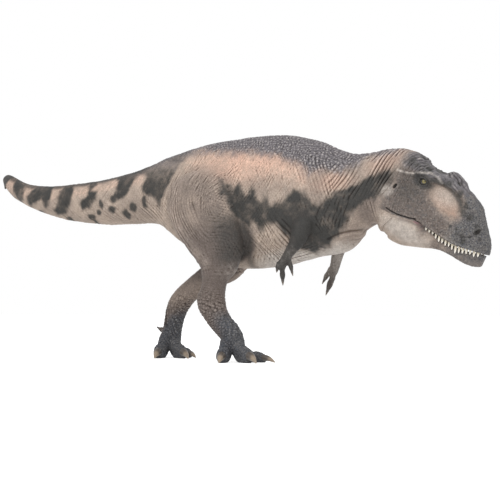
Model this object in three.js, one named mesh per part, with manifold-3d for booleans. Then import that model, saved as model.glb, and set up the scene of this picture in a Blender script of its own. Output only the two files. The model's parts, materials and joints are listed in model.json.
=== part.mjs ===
// A collector's figure of a large predatory dinosaur that stands on its hind legs,
// with a jaw that opens. It is moulded in soft vinyl as separate pieces: a hollow
// trunk in two half shells, to which the tail, head, arms and legs are plugged.
// Sizes are in millimetres. +X is forward, +Y is the animal's left and +Z is up.
import * as THREE from "three";
import { mergeVertices } from "three/addons/utils/BufferGeometryUtils.js";
import Module from "manifold-3d";

const wasm = await Module();
wasm.setup();

// Driving sizes of the animal.
const trunkLength = 151; // tail seam to head seam
const tailLength = 140; // tail seam to the tail's tip, measured along X
const backHeight = 134; // floor to the top of the back
const trunkWidth = 49; // across the ribs
const skullLength = 72.6; // back of the skull to the tip of the snout
const skullWidth = 28.4; // across the cheeks
const headPitch = THREE.MathUtils.degToRad(27); // how far the head looks down
const hipHeight = 104; // floor to the hip joint
const armLength = 34; // shoulder to fingertip, measured along Z
const toeLength = 23; // knuckle to the base of the claw, middle toe
const clawLength = 8.5; // middle toe
const jawOpening = THREE.MathUtils.degToRad(26); // widest gape

// Driving sizes of the mouldings.
const shellWall = 2.8; // wall of the hollow trunk and skull
const seamGap = 0.3; // clearance between neighbouring pieces
const lipWall = 0.9; // vinyl left outside the gums
const gumWidth = 1.7; // the strip that carries the teeth
const toothSpacing = 2.15;
const toothLength = 4.0; // longest upper tooth
const hingePinRadius = 1.25;
const hingePinLength = 24;
const hingePinClearance = 0.08;
const jawBallRadius = 12.9; // the back of the jaw turns in the throat as a ball
const jawBossRadius = 5.5;
const jawBossWidth = 20.4;
const eyeRadius = 2.6;
const weightRadius = 10; // turned steel weight that lies in the tail
const weightLength = 72;
const plugLength = 9; // how far the tail and the head reach into the trunk, twice over
const plugInset = 3.1; // skin left around a plug
const hipPegSide = 8;
const hipPegLength = 8;
const armClearance = 0.75;
const shoulderPegRadius = 2.6;
const shoulderPegLength = 6;
const anklePegRadius = 2.4;
const anklePegLength = 6;
const bossRadius = 4; // columns that meet on the trunk's middle seam
const bossPinRadius = 1.6;
const bossPinLength = 5;
const reach = 600; // half the side of a cutting block, larger than the figure
const mergeTolerance = 1e-4;
const cleanTolerance = 0.03; // slivers thinner than this are merged away

// How finely the solids are faceted.
const bodyFacets = 20;
const headFacets = 20;
const legFacets = 12;
const hollowFacets = 14;
const toeFacets = 8;
const clawFacets = 6;
const armFacets = 8;
const pinFacets = 12;
const toothFacets = 6;

const halfTrunk = trunkWidth / 2;
const halfSkull = skullWidth / 2;
const hipShare = 0.437; // where the frame's upright lies along the trunk
const tailSeamX = -hipShare * trunkLength;
const headSeamX = (1 - hipShare) * trunkLength;

// Trunk and neck, from the tail seam forwards: place along the trunk, top and
// bottom in shares of the back's height, half width in shares of the trunk's.
const trunkShares = [
  [0.0, 0.888, 0.625, 0.59],
  [0.07, 0.917, 0.609, 0.65],
  [0.14, 0.939, 0.548, 0.71],
  [0.21, 0.959, 0.494, 0.775],
  [0.28, 0.975, 0.456, 0.825],
  [0.35, 0.985, 0.426, 0.87],
  [0.42, 0.991, 0.411, 0.92],
  [0.49, 0.997, 0.409, 0.97],
  [0.56, 1.0, 0.414, 1.0],
  [0.63, 0.997, 0.423, 1.0],
  [0.7, 0.983, 0.442, 0.975],
  [0.77, 0.962, 0.461, 0.92],
  [0.83, 0.936, 0.467, 0.84],
  [0.88, 0.911, 0.479, 0.755],
  [0.92, 0.9, 0.516, 0.68],
  [0.96, 0.898, 0.568, 0.625],
  [1.0, 0.902, 0.585, 0.585],
  [1.06, 0.914, 0.597, 0.545],
  [1.12, 0.914, 0.626, 0.49],
];

// Tail, from its tip forwards: place behind the tail seam and drift to the left
// in shares of the tail's length, then top, bottom and half width as above.
const tailShares = [
  [1.0, 0.275, 0.844, 0.832, 0.03],
  [0.975, 0.243, 0.871, 0.849, 0.055],
  [0.935, 0.193, 0.886, 0.855, 0.085],
  [0.89, 0.143, 0.892, 0.848, 0.12],
  [0.85, 0.1, 0.89, 0.83, 0.155],
  [0.8, 0.064, 0.876, 0.795, 0.195],
  [0.75, 0.039, 0.857, 0.763, 0.225],
  [0.69, 0.021, 0.835, 0.735, 0.255],
  [0.63, 0.009, 0.822, 0.708, 0.285],
  [0.56, 0.003, 0.816, 0.684, 0.32],
  [0.48, 0, 0.815, 0.661, 0.365],
  [0.4, 0, 0.82, 0.645, 0.41],
  [0.32, 0, 0.825, 0.633, 0.46],
  [0.24, 0, 0.834, 0.625, 0.505],
  [0.16, 0, 0.848, 0.623, 0.545],
  [0.08, 0, 0.865, 0.623, 0.575],
];
const beltShare = 0.44; // height of the widest point of each trunk section
const tailBeltShare = 0.5;
const ridgePower = 1.8; // below 2 the back narrows to a ridge
const bellyPower = 2.1;

// Head, from the nape forwards, in shares of the skull's length: place, top and
// bottom measured from the skull's axis; then half width over the skull's.
const headShares = [
  [-0.11, 0.27, -0.2, 0.87],
  [0.0, 0.335, -0.25, 0.96],
  [0.083, 0.36, -0.296, 1.0],
  [0.165, 0.357, -0.33, 1.0],
  [0.248, 0.328, -0.347, 0.98],
  [0.33, 0.307, -0.343, 0.93],
  [0.413, 0.296, -0.317, 0.86],
  [0.496, 0.284, -0.284, 0.785],
  [0.579, 0.262, -0.251, 0.72],
  [0.661, 0.238, -0.232, 0.67],
  [0.744, 0.203, -0.233, 0.63],
  [0.826, 0.135, -0.238, 0.575],
  [0.895, 0.074, -0.236, 0.505],
  [0.95, 0.018, -0.225, 0.4],
  [0.985, -0.03, -0.2, 0.27],
  [1.0, -0.07, -0.165, 0.12],
];
const headBeltShare = -0.04; // height of the widest point, from the skull's axis
const skullPower = 3.1;
const chinPower = 2.6;

// The lip lines in shares of the skull's length: place, upper lip, lower lip.
const hingeShare = [0.23, -0.154];
const lipShares = [
  [0.23, -0.119, -0.123],
  [0.3, -0.109, -0.113],
  [0.375, -0.096, -0.1],
  [0.45, -0.097, -0.105],
  [0.49, -0.112, -0.128],
  [0.574, -0.121, -0.152],
  [0.654, -0.132, -0.169],
  [0.73, -0.136, -0.173],
  [0.8, -0.132, -0.168],
  [0.87, -0.12, -0.156],
  [0.935, -0.109, -0.14],
  [1.03, -0.097, -0.127],
];
const gumStartShare = 0.47;
const gumEndShare = 0.965;
const lowerGumEndShare = 0.915;

// The brow and snout ridge on each side: place, height and distance from the
// middle in shares of the skull's length, then its thickness, and how much lower
// the right one sits.
const ridgeShares = [
  [0.17, 0.275, 0.13, 0.032, 0],
  [0.25, 0.265, 0.145, 0.042, 0.01],
  [0.32, 0.252, 0.14, 0.047, 0.012],
  [0.38, 0.262, 0.122, 0.05, 0.032],
  [0.44, 0.291, 0.1, 0.053, 0.045],
  [0.51, 0.281, 0.088, 0.05, 0.032],
  [0.59, 0.243, 0.08, 0.042, 0.01],
  [0.67, 0.214, 0.075, 0.037, 0],
  [0.75, 0.176, 0.068, 0.034, 0],
  [0.82, 0.108, 0.058, 0.03, 0],
  [0.89, 0.042, 0.048, 0.022, 0],
];
const eyeShare = [0.325, 0.195];

// Legs in shares of the hip's height: forward, outward and up, then the half
// thickness across the leg, to its front and to its back.
const rightLegShares = [
  [-0.215, 0.155, 1.075, 0.035, 0.13, 0.13],
  [-0.2, 0.185, 1.015, 0.068, 0.185, 0.195],
  [-0.178, 0.205, 0.935, 0.083, 0.2, 0.22],
  [-0.132, 0.22, 0.838, 0.094, 0.198, 0.215],
  [-0.084, 0.23, 0.742, 0.102, 0.182, 0.195],
  [-0.05, 0.233, 0.64, 0.104, 0.155, 0.163],
  [-0.044, 0.235, 0.548, 0.092, 0.12, 0.125],
  [-0.063, 0.237, 0.473, 0.077, 0.077, 0.08],
  [-0.075, 0.238, 0.407, 0.07, 0.071, 0.073],
  [-0.084, 0.24, 0.336, 0.07, 0.08, 0.085],
  [-0.056, 0.242, 0.266, 0.063, 0.069, 0.069],
  [-0.014, 0.246, 0.212, 0.058, 0.061, 0.061],
  [0.033, 0.25, 0.165, 0.059, 0.059, 0.058],
  [0.065, 0.253, 0.125, 0.062, 0.055, 0.057],
  [0.088, 0.255, 0.09, 0.052, 0.042, 0.05],
  [0.1, 0.256, 0.062, 0.03, 0.024, 0.03],
];
const leftLegShares = [
  [-0.25, 0.155, 1.075, 0.035, 0.12, 0.12],
  [-0.235, 0.187, 1.015, 0.068, 0.18, 0.19],
  [-0.225, 0.205, 0.93, 0.083, 0.19, 0.2],
  [-0.212, 0.218, 0.84, 0.092, 0.18, 0.185],
  [-0.2, 0.224, 0.74, 0.097, 0.16, 0.165],
  [-0.205, 0.227, 0.645, 0.094, 0.14, 0.135],
  [-0.25, 0.23, 0.562, 0.083, 0.115, 0.097],
  [-0.336, 0.232, 0.503, 0.074, 0.084, 0.08],
  [-0.428, 0.234, 0.452, 0.067, 0.069, 0.067],
  [-0.514, 0.236, 0.394, 0.063, 0.063, 0.063],
  [-0.577, 0.238, 0.327, 0.062, 0.063, 0.064],
  [-0.609, 0.24, 0.255, 0.058, 0.058, 0.06],
  [-0.627, 0.243, 0.183, 0.056, 0.056, 0.056],
  [-0.637, 0.246, 0.125, 0.06, 0.056, 0.057],
  [-0.632, 0.248, 0.085, 0.052, 0.048, 0.05],
  [-0.628, 0.249, 0.055, 0.03, 0.028, 0.03],
];
const knuckleRow = 13; // the leg's row over the knuckle that the toes spring from
const footCutShare = 0.19; // height of the seam between leg and foot

// One toe, in shares of its own length: along, then height of its middle, half
// width and half height in shares of the middle toe's length.
const toeShares = [
  [-0.22, 0.5, 0.16, 0.19],
  [0.0, 0.48, 0.175, 0.23],
  [0.2, 0.37, 0.17, 0.235],
  [0.4, 0.235, 0.165, 0.235],
  [0.54, 0.18, 0.145, 0.185],
  [0.7, 0.185, 0.16, 0.2],
  [0.88, 0.16, 0.14, 0.172],
  [1.0, 0.14, 0.1, 0.12],
];
const clawShares = [
  [-0.35, 0.16, 0.1, 0.1],
  [0.0, 0.17, 0.11, 0.115],
  [0.4, 0.145, 0.085, 0.09],
  [0.75, 0.085, 0.05, 0.056],
  [1.0, 0.025, 0.016, 0.02],
];
// Each toe: heading to the animal's right of forward in degrees, length and height
// over the middle toe's, and how far its root lies to the right of the knuckle.
const rightToes = [
  { heading: 10, lengthShare: 0.86, riseShare: 0.7, besideShare: -0.16 },
  { heading: 38, lengthShare: 1.0, riseShare: 1.0, besideShare: 0 },
  { heading: 72, lengthShare: 0.8, riseShare: 1.0, besideShare: 0.17 },
];
const leftToes = [
  { heading: 74, lengthShare: 0.84, riseShare: 1.0, besideShare: 0.17 },
  { heading: 40, lengthShare: 0.97, riseShare: 0.95, besideShare: 0 },
  { heading: 16, lengthShare: 0.6, riseShare: 0.7, besideShare: -0.12 },
];
// The small first toe, set inside and behind the foot.
const spurShares = [
  [0.0, 0.08, 0.1, 0.12],
  [0.3, 0.03, 0.105, 0.11],
  [0.55, -0.01, 0.085, 0.085],
  [0.8, 0.03, 0.05, 0.05],
  [1.0, 0.09, 0.015, 0.015],
];
const spurLengthShare = 0.46;
const spurHeightShare = 0.165;

// Arms, in shares of the arm's length: forward, outward and up from the shoulder,
// then the half thickness across, to the front and to the back.
const rightArmShares = [
  [0.03, -0.1, 0.06, 0.1, 0.12, 0.12],
  [0.02, 0.0, 0.0, 0.14, 0.17, 0.17],
  [-0.01, 0.09, -0.14, 0.13, 0.17, 0.16],
  [-0.07, 0.12, -0.31, 0.11, 0.14, 0.12],
  [-0.17, 0.13, -0.46, 0.09, 0.1, 0.09],
  [-0.28, 0.14, -0.62, 0.075, 0.075, 0.075],
  [-0.33, 0.14, -0.7, 0.085, 0.08, 0.08],
  [-0.33, 0.14, -0.78, 0.06, 0.06, 0.06],
];
const leftArmShares = [
  [0.09, -0.1, 0.04, 0.1, 0.12, 0.12],
  [0.1, 0.0, -0.04, 0.14, 0.16, 0.16],
  [0.11, 0.02, -0.2, 0.13, 0.16, 0.15],
  [0.1, 0.03, -0.38, 0.11, 0.135, 0.12],
  [0.06, 0.03, -0.55, 0.09, 0.11, 0.1],
  [0.02, 0.03, -0.72, 0.08, 0.09, 0.09],
  [-0.02, 0.03, -0.81, 0.085, 0.09, 0.09],
  [-0.03, 0.03, -0.88, 0.06, 0.06, 0.06],
];
// Fingers: root and tip in the same shares, then the half thickness at the root.
const rightFingers = [
  { rootShare: [-0.33, 0.14, -0.7], tipShare: [-0.32, 0.13, -1.06], thickShare: 0.05 },
  { rootShare: [-0.37, 0.19, -0.66], tipShare: [-0.4, 0.21, -0.84], thickShare: 0.042 },
  { rootShare: [-0.24, 0.07, -0.58], tipShare: [-0.17, 0.05, -0.9], thickShare: 0.042 },
];
const leftFingers = [
  { rootShare: [0.01, 0.03, -0.82], tipShare: [-0.14, 0.0, -1.22], thickShare: 0.055 },
  { rootShare: [-0.06, 0.04, -0.74], tipShare: [-0.23, 0.04, -1.02], thickShare: 0.046 },
  { rootShare: [0.03, -0.03, -0.8], tipShare: [0.02, -0.07, -1.04], thickShare: 0.044 },
];
const shoulderShare = [0.76, 0.82, 0.6]; // along the trunk, out and up

const soft = { colour: "#8d8077", roughness: 0.72 };

// Solids: a closed geometry becomes a solid that can be cut and joined, and back.
function solidOf(geometry) {
  const bare = geometry.index ? geometry.toNonIndexed() : geometry.clone();
  bare.deleteAttribute("normal");
  bare.deleteAttribute("uv");
  const merged = mergeVertices(bare, mergeTolerance);
  const triVerts = new Uint32Array(merged.index.array);
  const vertProperties = new Float32Array(merged.attributes.position.array);
  const made = new wasm.Manifold(new wasm.Mesh({ numProp: 3, vertProperties, triVerts }));
  if (made.volume() > 0) return made;
  for (let i = 0; i < triVerts.length; i += 3) {
    [triVerts[i + 1], triVerts[i + 2]] = [triVerts[i + 2], triVerts[i + 1]];
  }
  return new wasm.Manifold(new wasm.Mesh({ numProp: 3, vertProperties, triVerts }));
}

function geometryOf(solid) {
  const mesh = solid.getMesh();
  const geometry = new THREE.BufferGeometry();
  const corners = new Float32Array(mesh.triVerts.length * 3);
  mesh.triVerts.forEach((vertex, i) => {
    for (let axis = 0; axis < 3; axis++) {
      corners[i * 3 + axis] = mesh.vertProperties[vertex * mesh.numProp + axis];
    }
  });
  geometry.setAttribute("position", new THREE.BufferAttribute(corners, 3));
  geometry.computeVertexNormals();
  return geometry;
}

function joined(solids) {
  return solids.reduce((whole, solid) => whole.add(solid));
}

// A loft through rows of { at, size }: size holds the half width, the reach above
// the middle and the reach below it. frameOf turns a heading into two directions.
function loft(rows, { around, between = 2, frameOf, powers = [2, 2], grow = 0 }) {
  const path = new THREE.CatmullRomCurve3(rows.map((row) => row.at), false, "catmullrom");
  const sizes = new THREE.CatmullRomCurve3(rows.map((row) => row.size), false, "catmullrom");
  const last = (rows.length - 1) * between;
  const points = [];
  const middles = [];
  for (let i = 0; i <= last; i++) {
    const heading = path.getTangent(i / last);
    const middle = path.getPoint(i / last);
    if (i === 0) middle.addScaledVector(heading, -grow);
    if (i === last) middle.addScaledVector(heading, grow);
    middles.push(middle);
    const size = sizes.getPoint(i / last).addScalar(grow);
    const { across, up } = frameOf(heading);
    for (let k = 0; k < around; k++) {
      const angle = (2 * Math.PI * k) / around;
      const [side, rise] = [Math.cos(angle), Math.sin(angle)];
      const power = 2 / (rise > 0 ? powers[0] : powers[1]);
      const outward = size.x * Math.sign(side) * Math.abs(side) ** power;
      const upward = (rise > 0 ? size.y : -size.z) * Math.abs(rise) ** power;
      points.push(middle.clone().addScaledVector(across, outward).addScaledVector(up, upward));
    }
  }
  return skinned(points, middles, around);
}

// Faces between the rings of a loft, with a fan over each end.
function skinned(points, middles, around) {
  const positions = [];
  const face = (...corners) => corners.forEach((corner) => positions.push(...corner.toArray()));
  const rings = middles.length;
  for (let i = 0; i < rings - 1; i++) {
    for (let k = 0; k < around; k++) {
      const next = (k + 1) % around;
      const [a, b] = [points[i * around + k], points[i * around + next]];
      const [c, d] = [points[(i + 1) * around + next], points[(i + 1) * around + k]];
      face(a, b, c);
      face(a, c, d);
    }
  }
  for (let k = 0; k < around; k++) {
    const next = (k + 1) % around;
    face(middles[0], points[next], points[k]);
    face(middles[rings - 1], points[(rings - 1) * around + k], points[(rings - 1) * around + next]);
  }
  const geometry = new THREE.BufferGeometry();
  geometry.setAttribute("position", new THREE.Float32BufferAttribute(positions, 3));
  return solidOf(geometry);
}

const upright = new THREE.Vector3(0, 0, 1);
const forward = new THREE.Vector3(1, 0, 0);
const leftward = new THREE.Vector3(0, 1, 0);

// Sections that stand upright, whatever the slope of the path.
function standing(heading) {
  const across = upright.clone().cross(heading).normalize();
  return { across, up: upright };
}

// Sections square to the path, with their width kept level.
function squareTo(heading) {
  const across = upright.clone().cross(heading).normalize();
  return { across, up: heading.clone().cross(across) };
}

// Sections of a limb that hangs: across is the animal's left, up is the front.
function hanging(heading) {
  const across = forward.clone().cross(heading).normalize();
  return { across, up: heading.clone().cross(across) };
}

// Blocks that cut at a plane: all that lies beyond `at` along the normal.
function beyond(at, normal) {
  const block = new THREE.BoxGeometry(2 * reach, 2 * reach, 2 * reach);
  block.translate(0, 0, reach);
  const turn = new THREE.Quaternion().setFromUnitVectors(upright, normal.clone().normalize());
  block.applyQuaternion(turn);
  block.translate(at.x, at.y, at.z);
  return solidOf(block);
}

function box(sizes, middle) {
  return solidOf(new THREE.BoxGeometry(...sizes.toArray()).translate(...middle.toArray()));
}

function rodAlongY(radius, length, middle) {
  const rod = new THREE.CylinderGeometry(radius, radius, length, pinFacets);
  return solidOf(rod.translate(...middle.toArray()));
}

function rodAlong(radius, from, to) {
  const heading = to.clone().sub(from);
  const rod = new THREE.CylinderGeometry(radius, radius, heading.length(), pinFacets);
  rod.applyQuaternion(new THREE.Quaternion().setFromUnitVectors(leftward, heading.normalize()));
  const middle = from.clone().add(to).multiplyScalar(1 / 2);
  return solidOf(rod.translate(...middle.toArray()));
}

// The trunk, neck and tail are one smooth skin.
function bodySkin(grow, around = bodyFacets) {
  const section = (x, y, topShare, bottomShare, widthShare, middleShare) => {
    const height = (topShare - bottomShare) * backHeight;
    const middle = bottomShare * backHeight + middleShare * height;
    const size = new THREE.Vector3(
      widthShare * halfTrunk,
      (1 - middleShare) * height,
      middleShare * height,
    );
    return { at: new THREE.Vector3(x, y, middle), size };
  };
  const tail = tailShares.map(([along, aside, top, bottom, width]) =>
    section(tailSeamX - along * tailLength, aside * tailLength, top, bottom, width, tailBeltShare),
  );
  const trunk = trunkShares.map(([along, top, bottom, width]) =>
    section(tailSeamX + along * trunkLength, 0, top, bottom, width, beltShare),
  );
  return loft([...tail, ...trunk], {
    around,
    between: 1,
    frameOf: standing,
    powers: [ridgePower, bellyPower],
    grow,
  });
}

// A slice of the skin, set in all round, that plugs one piece into the next.
function plugAt(seamX, inset, length) {
  const front = new THREE.Vector3(seamX + length / 2, 0, 0);
  const back = new THREE.Vector3(seamX - length / 2, 0, 0);
  return bodySkin(-inset, hollowFacets)
    .subtract(beyond(front, forward))
    .subtract(beyond(back, forward.clone().negate()));
}

// The head's own frame lies at the back of the skull and looks down by headPitch.
const napeShare = [0.046, 0.749]; // ahead of the head seam, and up the back
const headAlong = new THREE.Vector3(Math.cos(headPitch), 0, -Math.sin(headPitch));
const headUp = new THREE.Vector3(Math.sin(headPitch), 0, Math.cos(headPitch));
const nape = new THREE.Vector3(
  headSeamX + napeShare[0] * trunkLength,
  0,
  napeShare[1] * backHeight,
);

function inHead(along, aside, up) {
  return nape
    .clone()
    .addScaledVector(headAlong, along * skullLength)
    .addScaledVector(leftward, aside)
    .addScaledVector(headUp, up * skullLength);
}

const hinge = inHead(hingeShare[0], 0, hingeShare[1]);

function headSkin() {
  return joined([headCore(0), ...[-1, 1].map(ridge)]);
}

function headCore(grow) {
  const rows = headShares.map(([along, top, bottom, width]) => {
    const belt = Math.min(headBeltShare, (top + bottom) / 2);
    return {
      at: inHead(along, 0, belt),
      size: new THREE.Vector3(
        width * halfSkull,
        (top - belt) * skullLength,
        (belt - bottom) * skullLength,
      ),
    };
  });
  return loft(rows, {
    around: headFacets,
    between: 1,
    frameOf: () => ({ across: leftward, up: headUp }),
    powers: [skullPower, chinPower],
    grow,
  });
}

function ridge(side) {
  const rows = ridgeShares.map(([along, up, aside, thick, drop]) => ({
    at: inHead(along, side * aside * skullLength, up - Math.max(0, -side) * drop),
    size: new THREE.Vector3(thick, thick, thick).multiplyScalar(skullLength),
  }));
  return loft(rows, { around: toeFacets, between: 1, frameOf: squareTo });
}

// Half width of the head, anywhere along it, in millimetres.
function headHalfWidth(along) {
  const i = Math.max(1, headShares.findIndex((row) => row[0] >= along));
  const [before, after] = [headShares[i - 1], headShares[i]];
  const part = (along - before[0]) / (after[0] - before[0]);
  return halfSkull * THREE.MathUtils.lerp(before[3], after[3], part);
}

// Half width of the head at one height below its widest point.
function headHalfWidthAt(along, up) {
  const i = Math.max(1, headShares.findIndex((row) => row[0] >= along));
  const [before, after] = [headShares[i - 1], headShares[i]];
  const part = (along - before[0]) / (after[0] - before[0]);
  const belts = [before, after].map((row) => Math.min(headBeltShare, (row[1] + row[2]) / 2));
  const belt = THREE.MathUtils.lerp(...belts, part);
  const drop = Math.max(0, (belt - up) / (belt - THREE.MathUtils.lerp(before[2], after[2], part)));
  return headHalfWidth(along) * (1 - Math.min(1, drop) ** chinPower) ** (1 / chinPower);
}

// Height of the upper lip (column 1) or lower lip (column 2), as a share.
function lipHeight(along, column) {
  const i = Math.max(1, lipShares.findIndex((row) => row[0] >= along));
  const [before, after] = [lipShares[i - 1], lipShares[i]];
  const part = (along - before[0]) / (after[0] - before[0]);
  return THREE.MathUtils.lerp(before[column], after[column], part);
}

// A prism across the head, from an outline in shares of the skull.
function headPrism(outline, halfWidth) {
  const shape = new THREE.Shape(
    outline.map(([along, up]) => new THREE.Vector2(along * skullLength, up * skullLength)),
  );
  const prism = new THREE.ExtrudeGeometry(shape, { depth: 2 * halfWidth, bevelEnabled: false });
  prism.translate(0, 0, -halfWidth);
  const backward = leftward.clone().negate();
  const frame = new THREE.Matrix4().makeBasis(headAlong, headUp, backward);
  prism.applyMatrix4(frame.setPosition(nape));
  return solidOf(prism);
}

// A bar with an upright-sided section that follows the mouth.
const barCorners = 4;
const barSteps = 7;
function mouthBar(start, end, halfWidthAt, bottomAt, topAt) {
  const points = [];
  const middles = [];
  for (let i = 0; i <= barSteps; i++) {
    const along = THREE.MathUtils.lerp(start, end, i / barSteps);
    const half = halfWidthAt(along);
    const [low, high] = [bottomAt(along), topAt(along)];
    middles.push(inHead(along, 0, (low + high) / 2));
    points.push(inHead(along, half, low), inHead(along, half, high));
    points.push(inHead(along, -half, high), inHead(along, -half, low));
  }
  return skinned(points, middles, barCorners);
}

// Outline of everything that the jaw may fill: below one lip line and in front of
// the line from the hinge down to the throat.
const throatAngle = THREE.MathUtils.degToRad(240);
const throatReachShare = 0.3;
const underShare = -0.5; // lower than any of the head, over the skull's length
const slideShare = 1.05; // what the throat leaves free for the jaw, over its opening

function belowLip(column, rearAngle) {
  const throat = [
    hingeShare[0] + throatReachShare * Math.cos(rearAngle),
    hingeShare[1] + throatReachShare * Math.sin(rearAngle),
  ];
  const line = lipShares.map((row) => [row[0], row[column]]);
  const [ahead] = lipShares[lipShares.length - 1];
  const under = [[ahead, underShare], [throat[0], underShare]];
  return headPrism([hingeShare, ...line, ...under, throat], halfTrunk);
}

function ballAt(radius) {
  const ball = new THREE.SphereGeometry(radius, headFacets, headFacets / 2);
  return solidOf(ball.translate(...hinge.toArray()));
}

const mouthShare = { roof: 0.05, floor: 0.036, tongue: 0.026, open: 0.052 };

const upperLipHalf = (along) => headHalfWidthAt(along, lipHeight(along, 1)) - lipWall;

function upperMouthHollow() {
  return mouthBar(
    gumStartShare,
    gumEndShare,
    upperLipHalf,
    (along) => lipHeight(along, 1) - mouthShare.open,
    (along) => lipHeight(along, 1) + mouthShare.roof,
  );
}

// The lower jaw closes inside the upper teeth.
const jawInset = lipWall + gumWidth + 2 * seamGap;
const lowerJawHalf = (along) => upperLipHalf(along) + lipWall - jawInset;
const lowerLipHalf = (along) =>
  Math.min(lowerJawHalf(along), headHalfWidthAt(along, lipHeight(along, 2) - mouthShare.floor)) -
  lipWall;

function lowerMouthHollow() {
  return mouthBar(
    gumStartShare,
    lowerGumEndShare,
    lowerLipHalf,
    (along) => lipHeight(along, 2) - mouthShare.floor,
    (along) => lipHeight(along, 2) + mouthShare.open,
  );
}

// A row of teeth on a strip of gum bent like a horseshoe.
function toothRow({ column, direction, depthShare, end, outerHalf, rowLengthShares }) {
  const gap = seamGap / skullLength;
  const root = (along) => lipHeight(along, column) - direction * (depthShare - gap);
  const edge = (along) => lipHeight(along, column) - direction * gap;
  const low = (along) => Math.min(root(along), edge(along));
  const high = (along) => Math.max(root(along), edge(along));
  const start = gumStartShare + gap;
  const strip = mouthBar(start, end, outerHalf, low, high).subtract(
    mouthBar(
      start - gap,
      end - gumWidth / skullLength,
      (along) => outerHalf(along) - gumWidth,
      (along) => low(along) - gap,
      (along) => high(along) + gap,
    ),
  );
  const count = Math.floor(((end - start) * skullLength - gumWidth / 2) / toothSpacing);
  const teeth = [];
  for (let i = 0; i <= count; i++) {
    const along = start + ((i + 1 / 2) * toothSpacing) / skullLength;
    if (along > end - gumWidth / 2 / skullLength) continue;
    const place = THREE.MathUtils.mapLinear(along, start, end, 0, 1);
    const length = toothLength * toothLengthShare(place, rowLengthShares);
    for (const side of [-1, 1]) {
      const out = outerHalf(along) - gumWidth / 2;
      const base = inHead(along, side * out, edge(along));
      base.addScaledVector(headUp, -direction * gumWidth / 2);
      const tip = inHead(along, side * out, edge(along));
      tip.addScaledVector(headUp, direction * length);
      teeth.push(tooth(base, tip));
    }
  }
  return joined([strip, ...teeth]);
}

const toothRadiusShare = 0.3; // over the spacing
function tooth(base, tip) {
  const height = base.distanceTo(tip);
  const cone = new THREE.ConeGeometry(toothRadiusShare * toothSpacing, height, toothFacets);
  cone.applyQuaternion(
    new THREE.Quaternion().setFromUnitVectors(leftward, tip.clone().sub(base).normalize()),
  );
  const middle = base.clone().add(tip).multiplyScalar(1 / 2);
  return solidOf(cone.translate(...middle.toArray()));
}

function toothLengthShare(place, shares) {
  const at = place * (shares.length - 1);
  const i = Math.min(Math.floor(at), shares.length - 2);
  return THREE.MathUtils.lerp(shares[i], shares[i + 1], at - i);
}

const upperToothShares = [0.5, 0.72, 0.95, 1.0, 0.85, 0.55];
const lowerToothShares = [0.3, 0.42, 0.45, 0.42, 0.38, 0.35];

// Limbs.
function legSkin(shares, side, grow = 0) {
  const rows = shares.map(([along, out, up, thick, front, back]) => ({
    at: new THREE.Vector3(along, side * out, up).multiplyScalar(hipHeight),
    size: new THREE.Vector3(thick, front, back).multiplyScalar(hipHeight),
  }));
  return loft(rows, { around: legFacets, between: 2, frameOf: hanging, grow });
}

function knuckleOf(shares, side) {
  const [along, out, up] = shares[knuckleRow];
  return new THREE.Vector3(along, side * out, up).multiplyScalar(hipHeight);
}

function toeSkin(knuckle, { heading, lengthShare, riseShare, besideShare }) {
  const turn = THREE.MathUtils.degToRad(heading);
  const ahead = new THREE.Vector3(Math.cos(turn), -Math.sin(turn), 0);
  const aside = new THREE.Vector3(-Math.sin(turn), -Math.cos(turn), 0);
  const root = new THREE.Vector3(knuckle.x, knuckle.y, 0);
  root.addScaledVector(aside, besideShare * toeLength);
  const row = (shares, start, length) => {
    const [along, up, half, rise] = shares;
    const at = root.clone().addScaledVector(ahead, start + along * length);
    at.z = riseShare * up * toeLength;
    const high = riseShare * rise;
    return { at, size: new THREE.Vector3(half, high, high).multiplyScalar(toeLength) };
  };
  const length = lengthShare * toeLength;
  const toe = loft(toeShares.map((shares) => row(shares, 0, length)), {
    around: toeFacets,
    between: 1,
    frameOf: standing,
  });
  const nail = lengthShare * clawLength;
  const claw = loft(clawShares.map((shares) => row(shares, length, nail)), {
    around: clawFacets,
    between: 1,
    frameOf: standing,
  });
  return toe.add(claw);
}

function spurSkin(shares, side, heading) {
  const turn = THREE.MathUtils.degToRad(heading);
  const ahead = new THREE.Vector3(Math.cos(turn), -Math.sin(turn), 0);
  const [along, out] = shares[knuckleRow - 1];
  const root = new THREE.Vector3(along, side * out, spurHeightShare).multiplyScalar(hipHeight);
  const rows = spurShares.map(([far, up, half, rise]) => {
    const at = root.clone().addScaledVector(ahead, far * spurLengthShare * toeLength);
    at.z += up * toeLength;
    return { at, size: new THREE.Vector3(half, rise, rise).multiplyScalar(toeLength) };
  });
  return loft(rows, { around: toeFacets, between: 1, frameOf: standing });
}

function legParts(shares, side, toes, spurHeading) {
  const knuckle = knuckleOf(shares, side);
  const limb = joined([legSkin(shares, side), ...toes.map((toe) => toeSkin(knuckle, toe))]);
  const spur = spurSkin(shares, side, spurHeading);
  const seam = new THREE.Vector3(0, 0, footCutShare * hipHeight);
  const above = seam.clone().addScaledVector(upright, seamGap / 2);
  const below = seam.clone().addScaledVector(upright, -seamGap / 2);
  const floor = new THREE.Vector3();
  const under = new THREE.Vector3(0, 0, -1);
  let leg = limb.subtract(beyond(above, under));
  let foot = limb.add(spur).subtract(beyond(below, upright)).subtract(beyond(floor, under));
  const [along, out] = shares[knuckleRow - 1];
  const socket = new THREE.Vector3(along, side * out, footCutShare).multiplyScalar(hipHeight);
  const top = socket.clone().addScaledVector(upright, anklePegLength / 2);
  const bottom = socket.clone().addScaledVector(upright, -anklePegLength / 2);
  leg = leg.add(rodAlong(anklePegRadius, top, bottom));
  bottom.addScaledVector(upright, -seamGap);
  foot = foot.subtract(rodAlong(anklePegRadius + seamGap, top, bottom));
  return { leg, foot };
}

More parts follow.
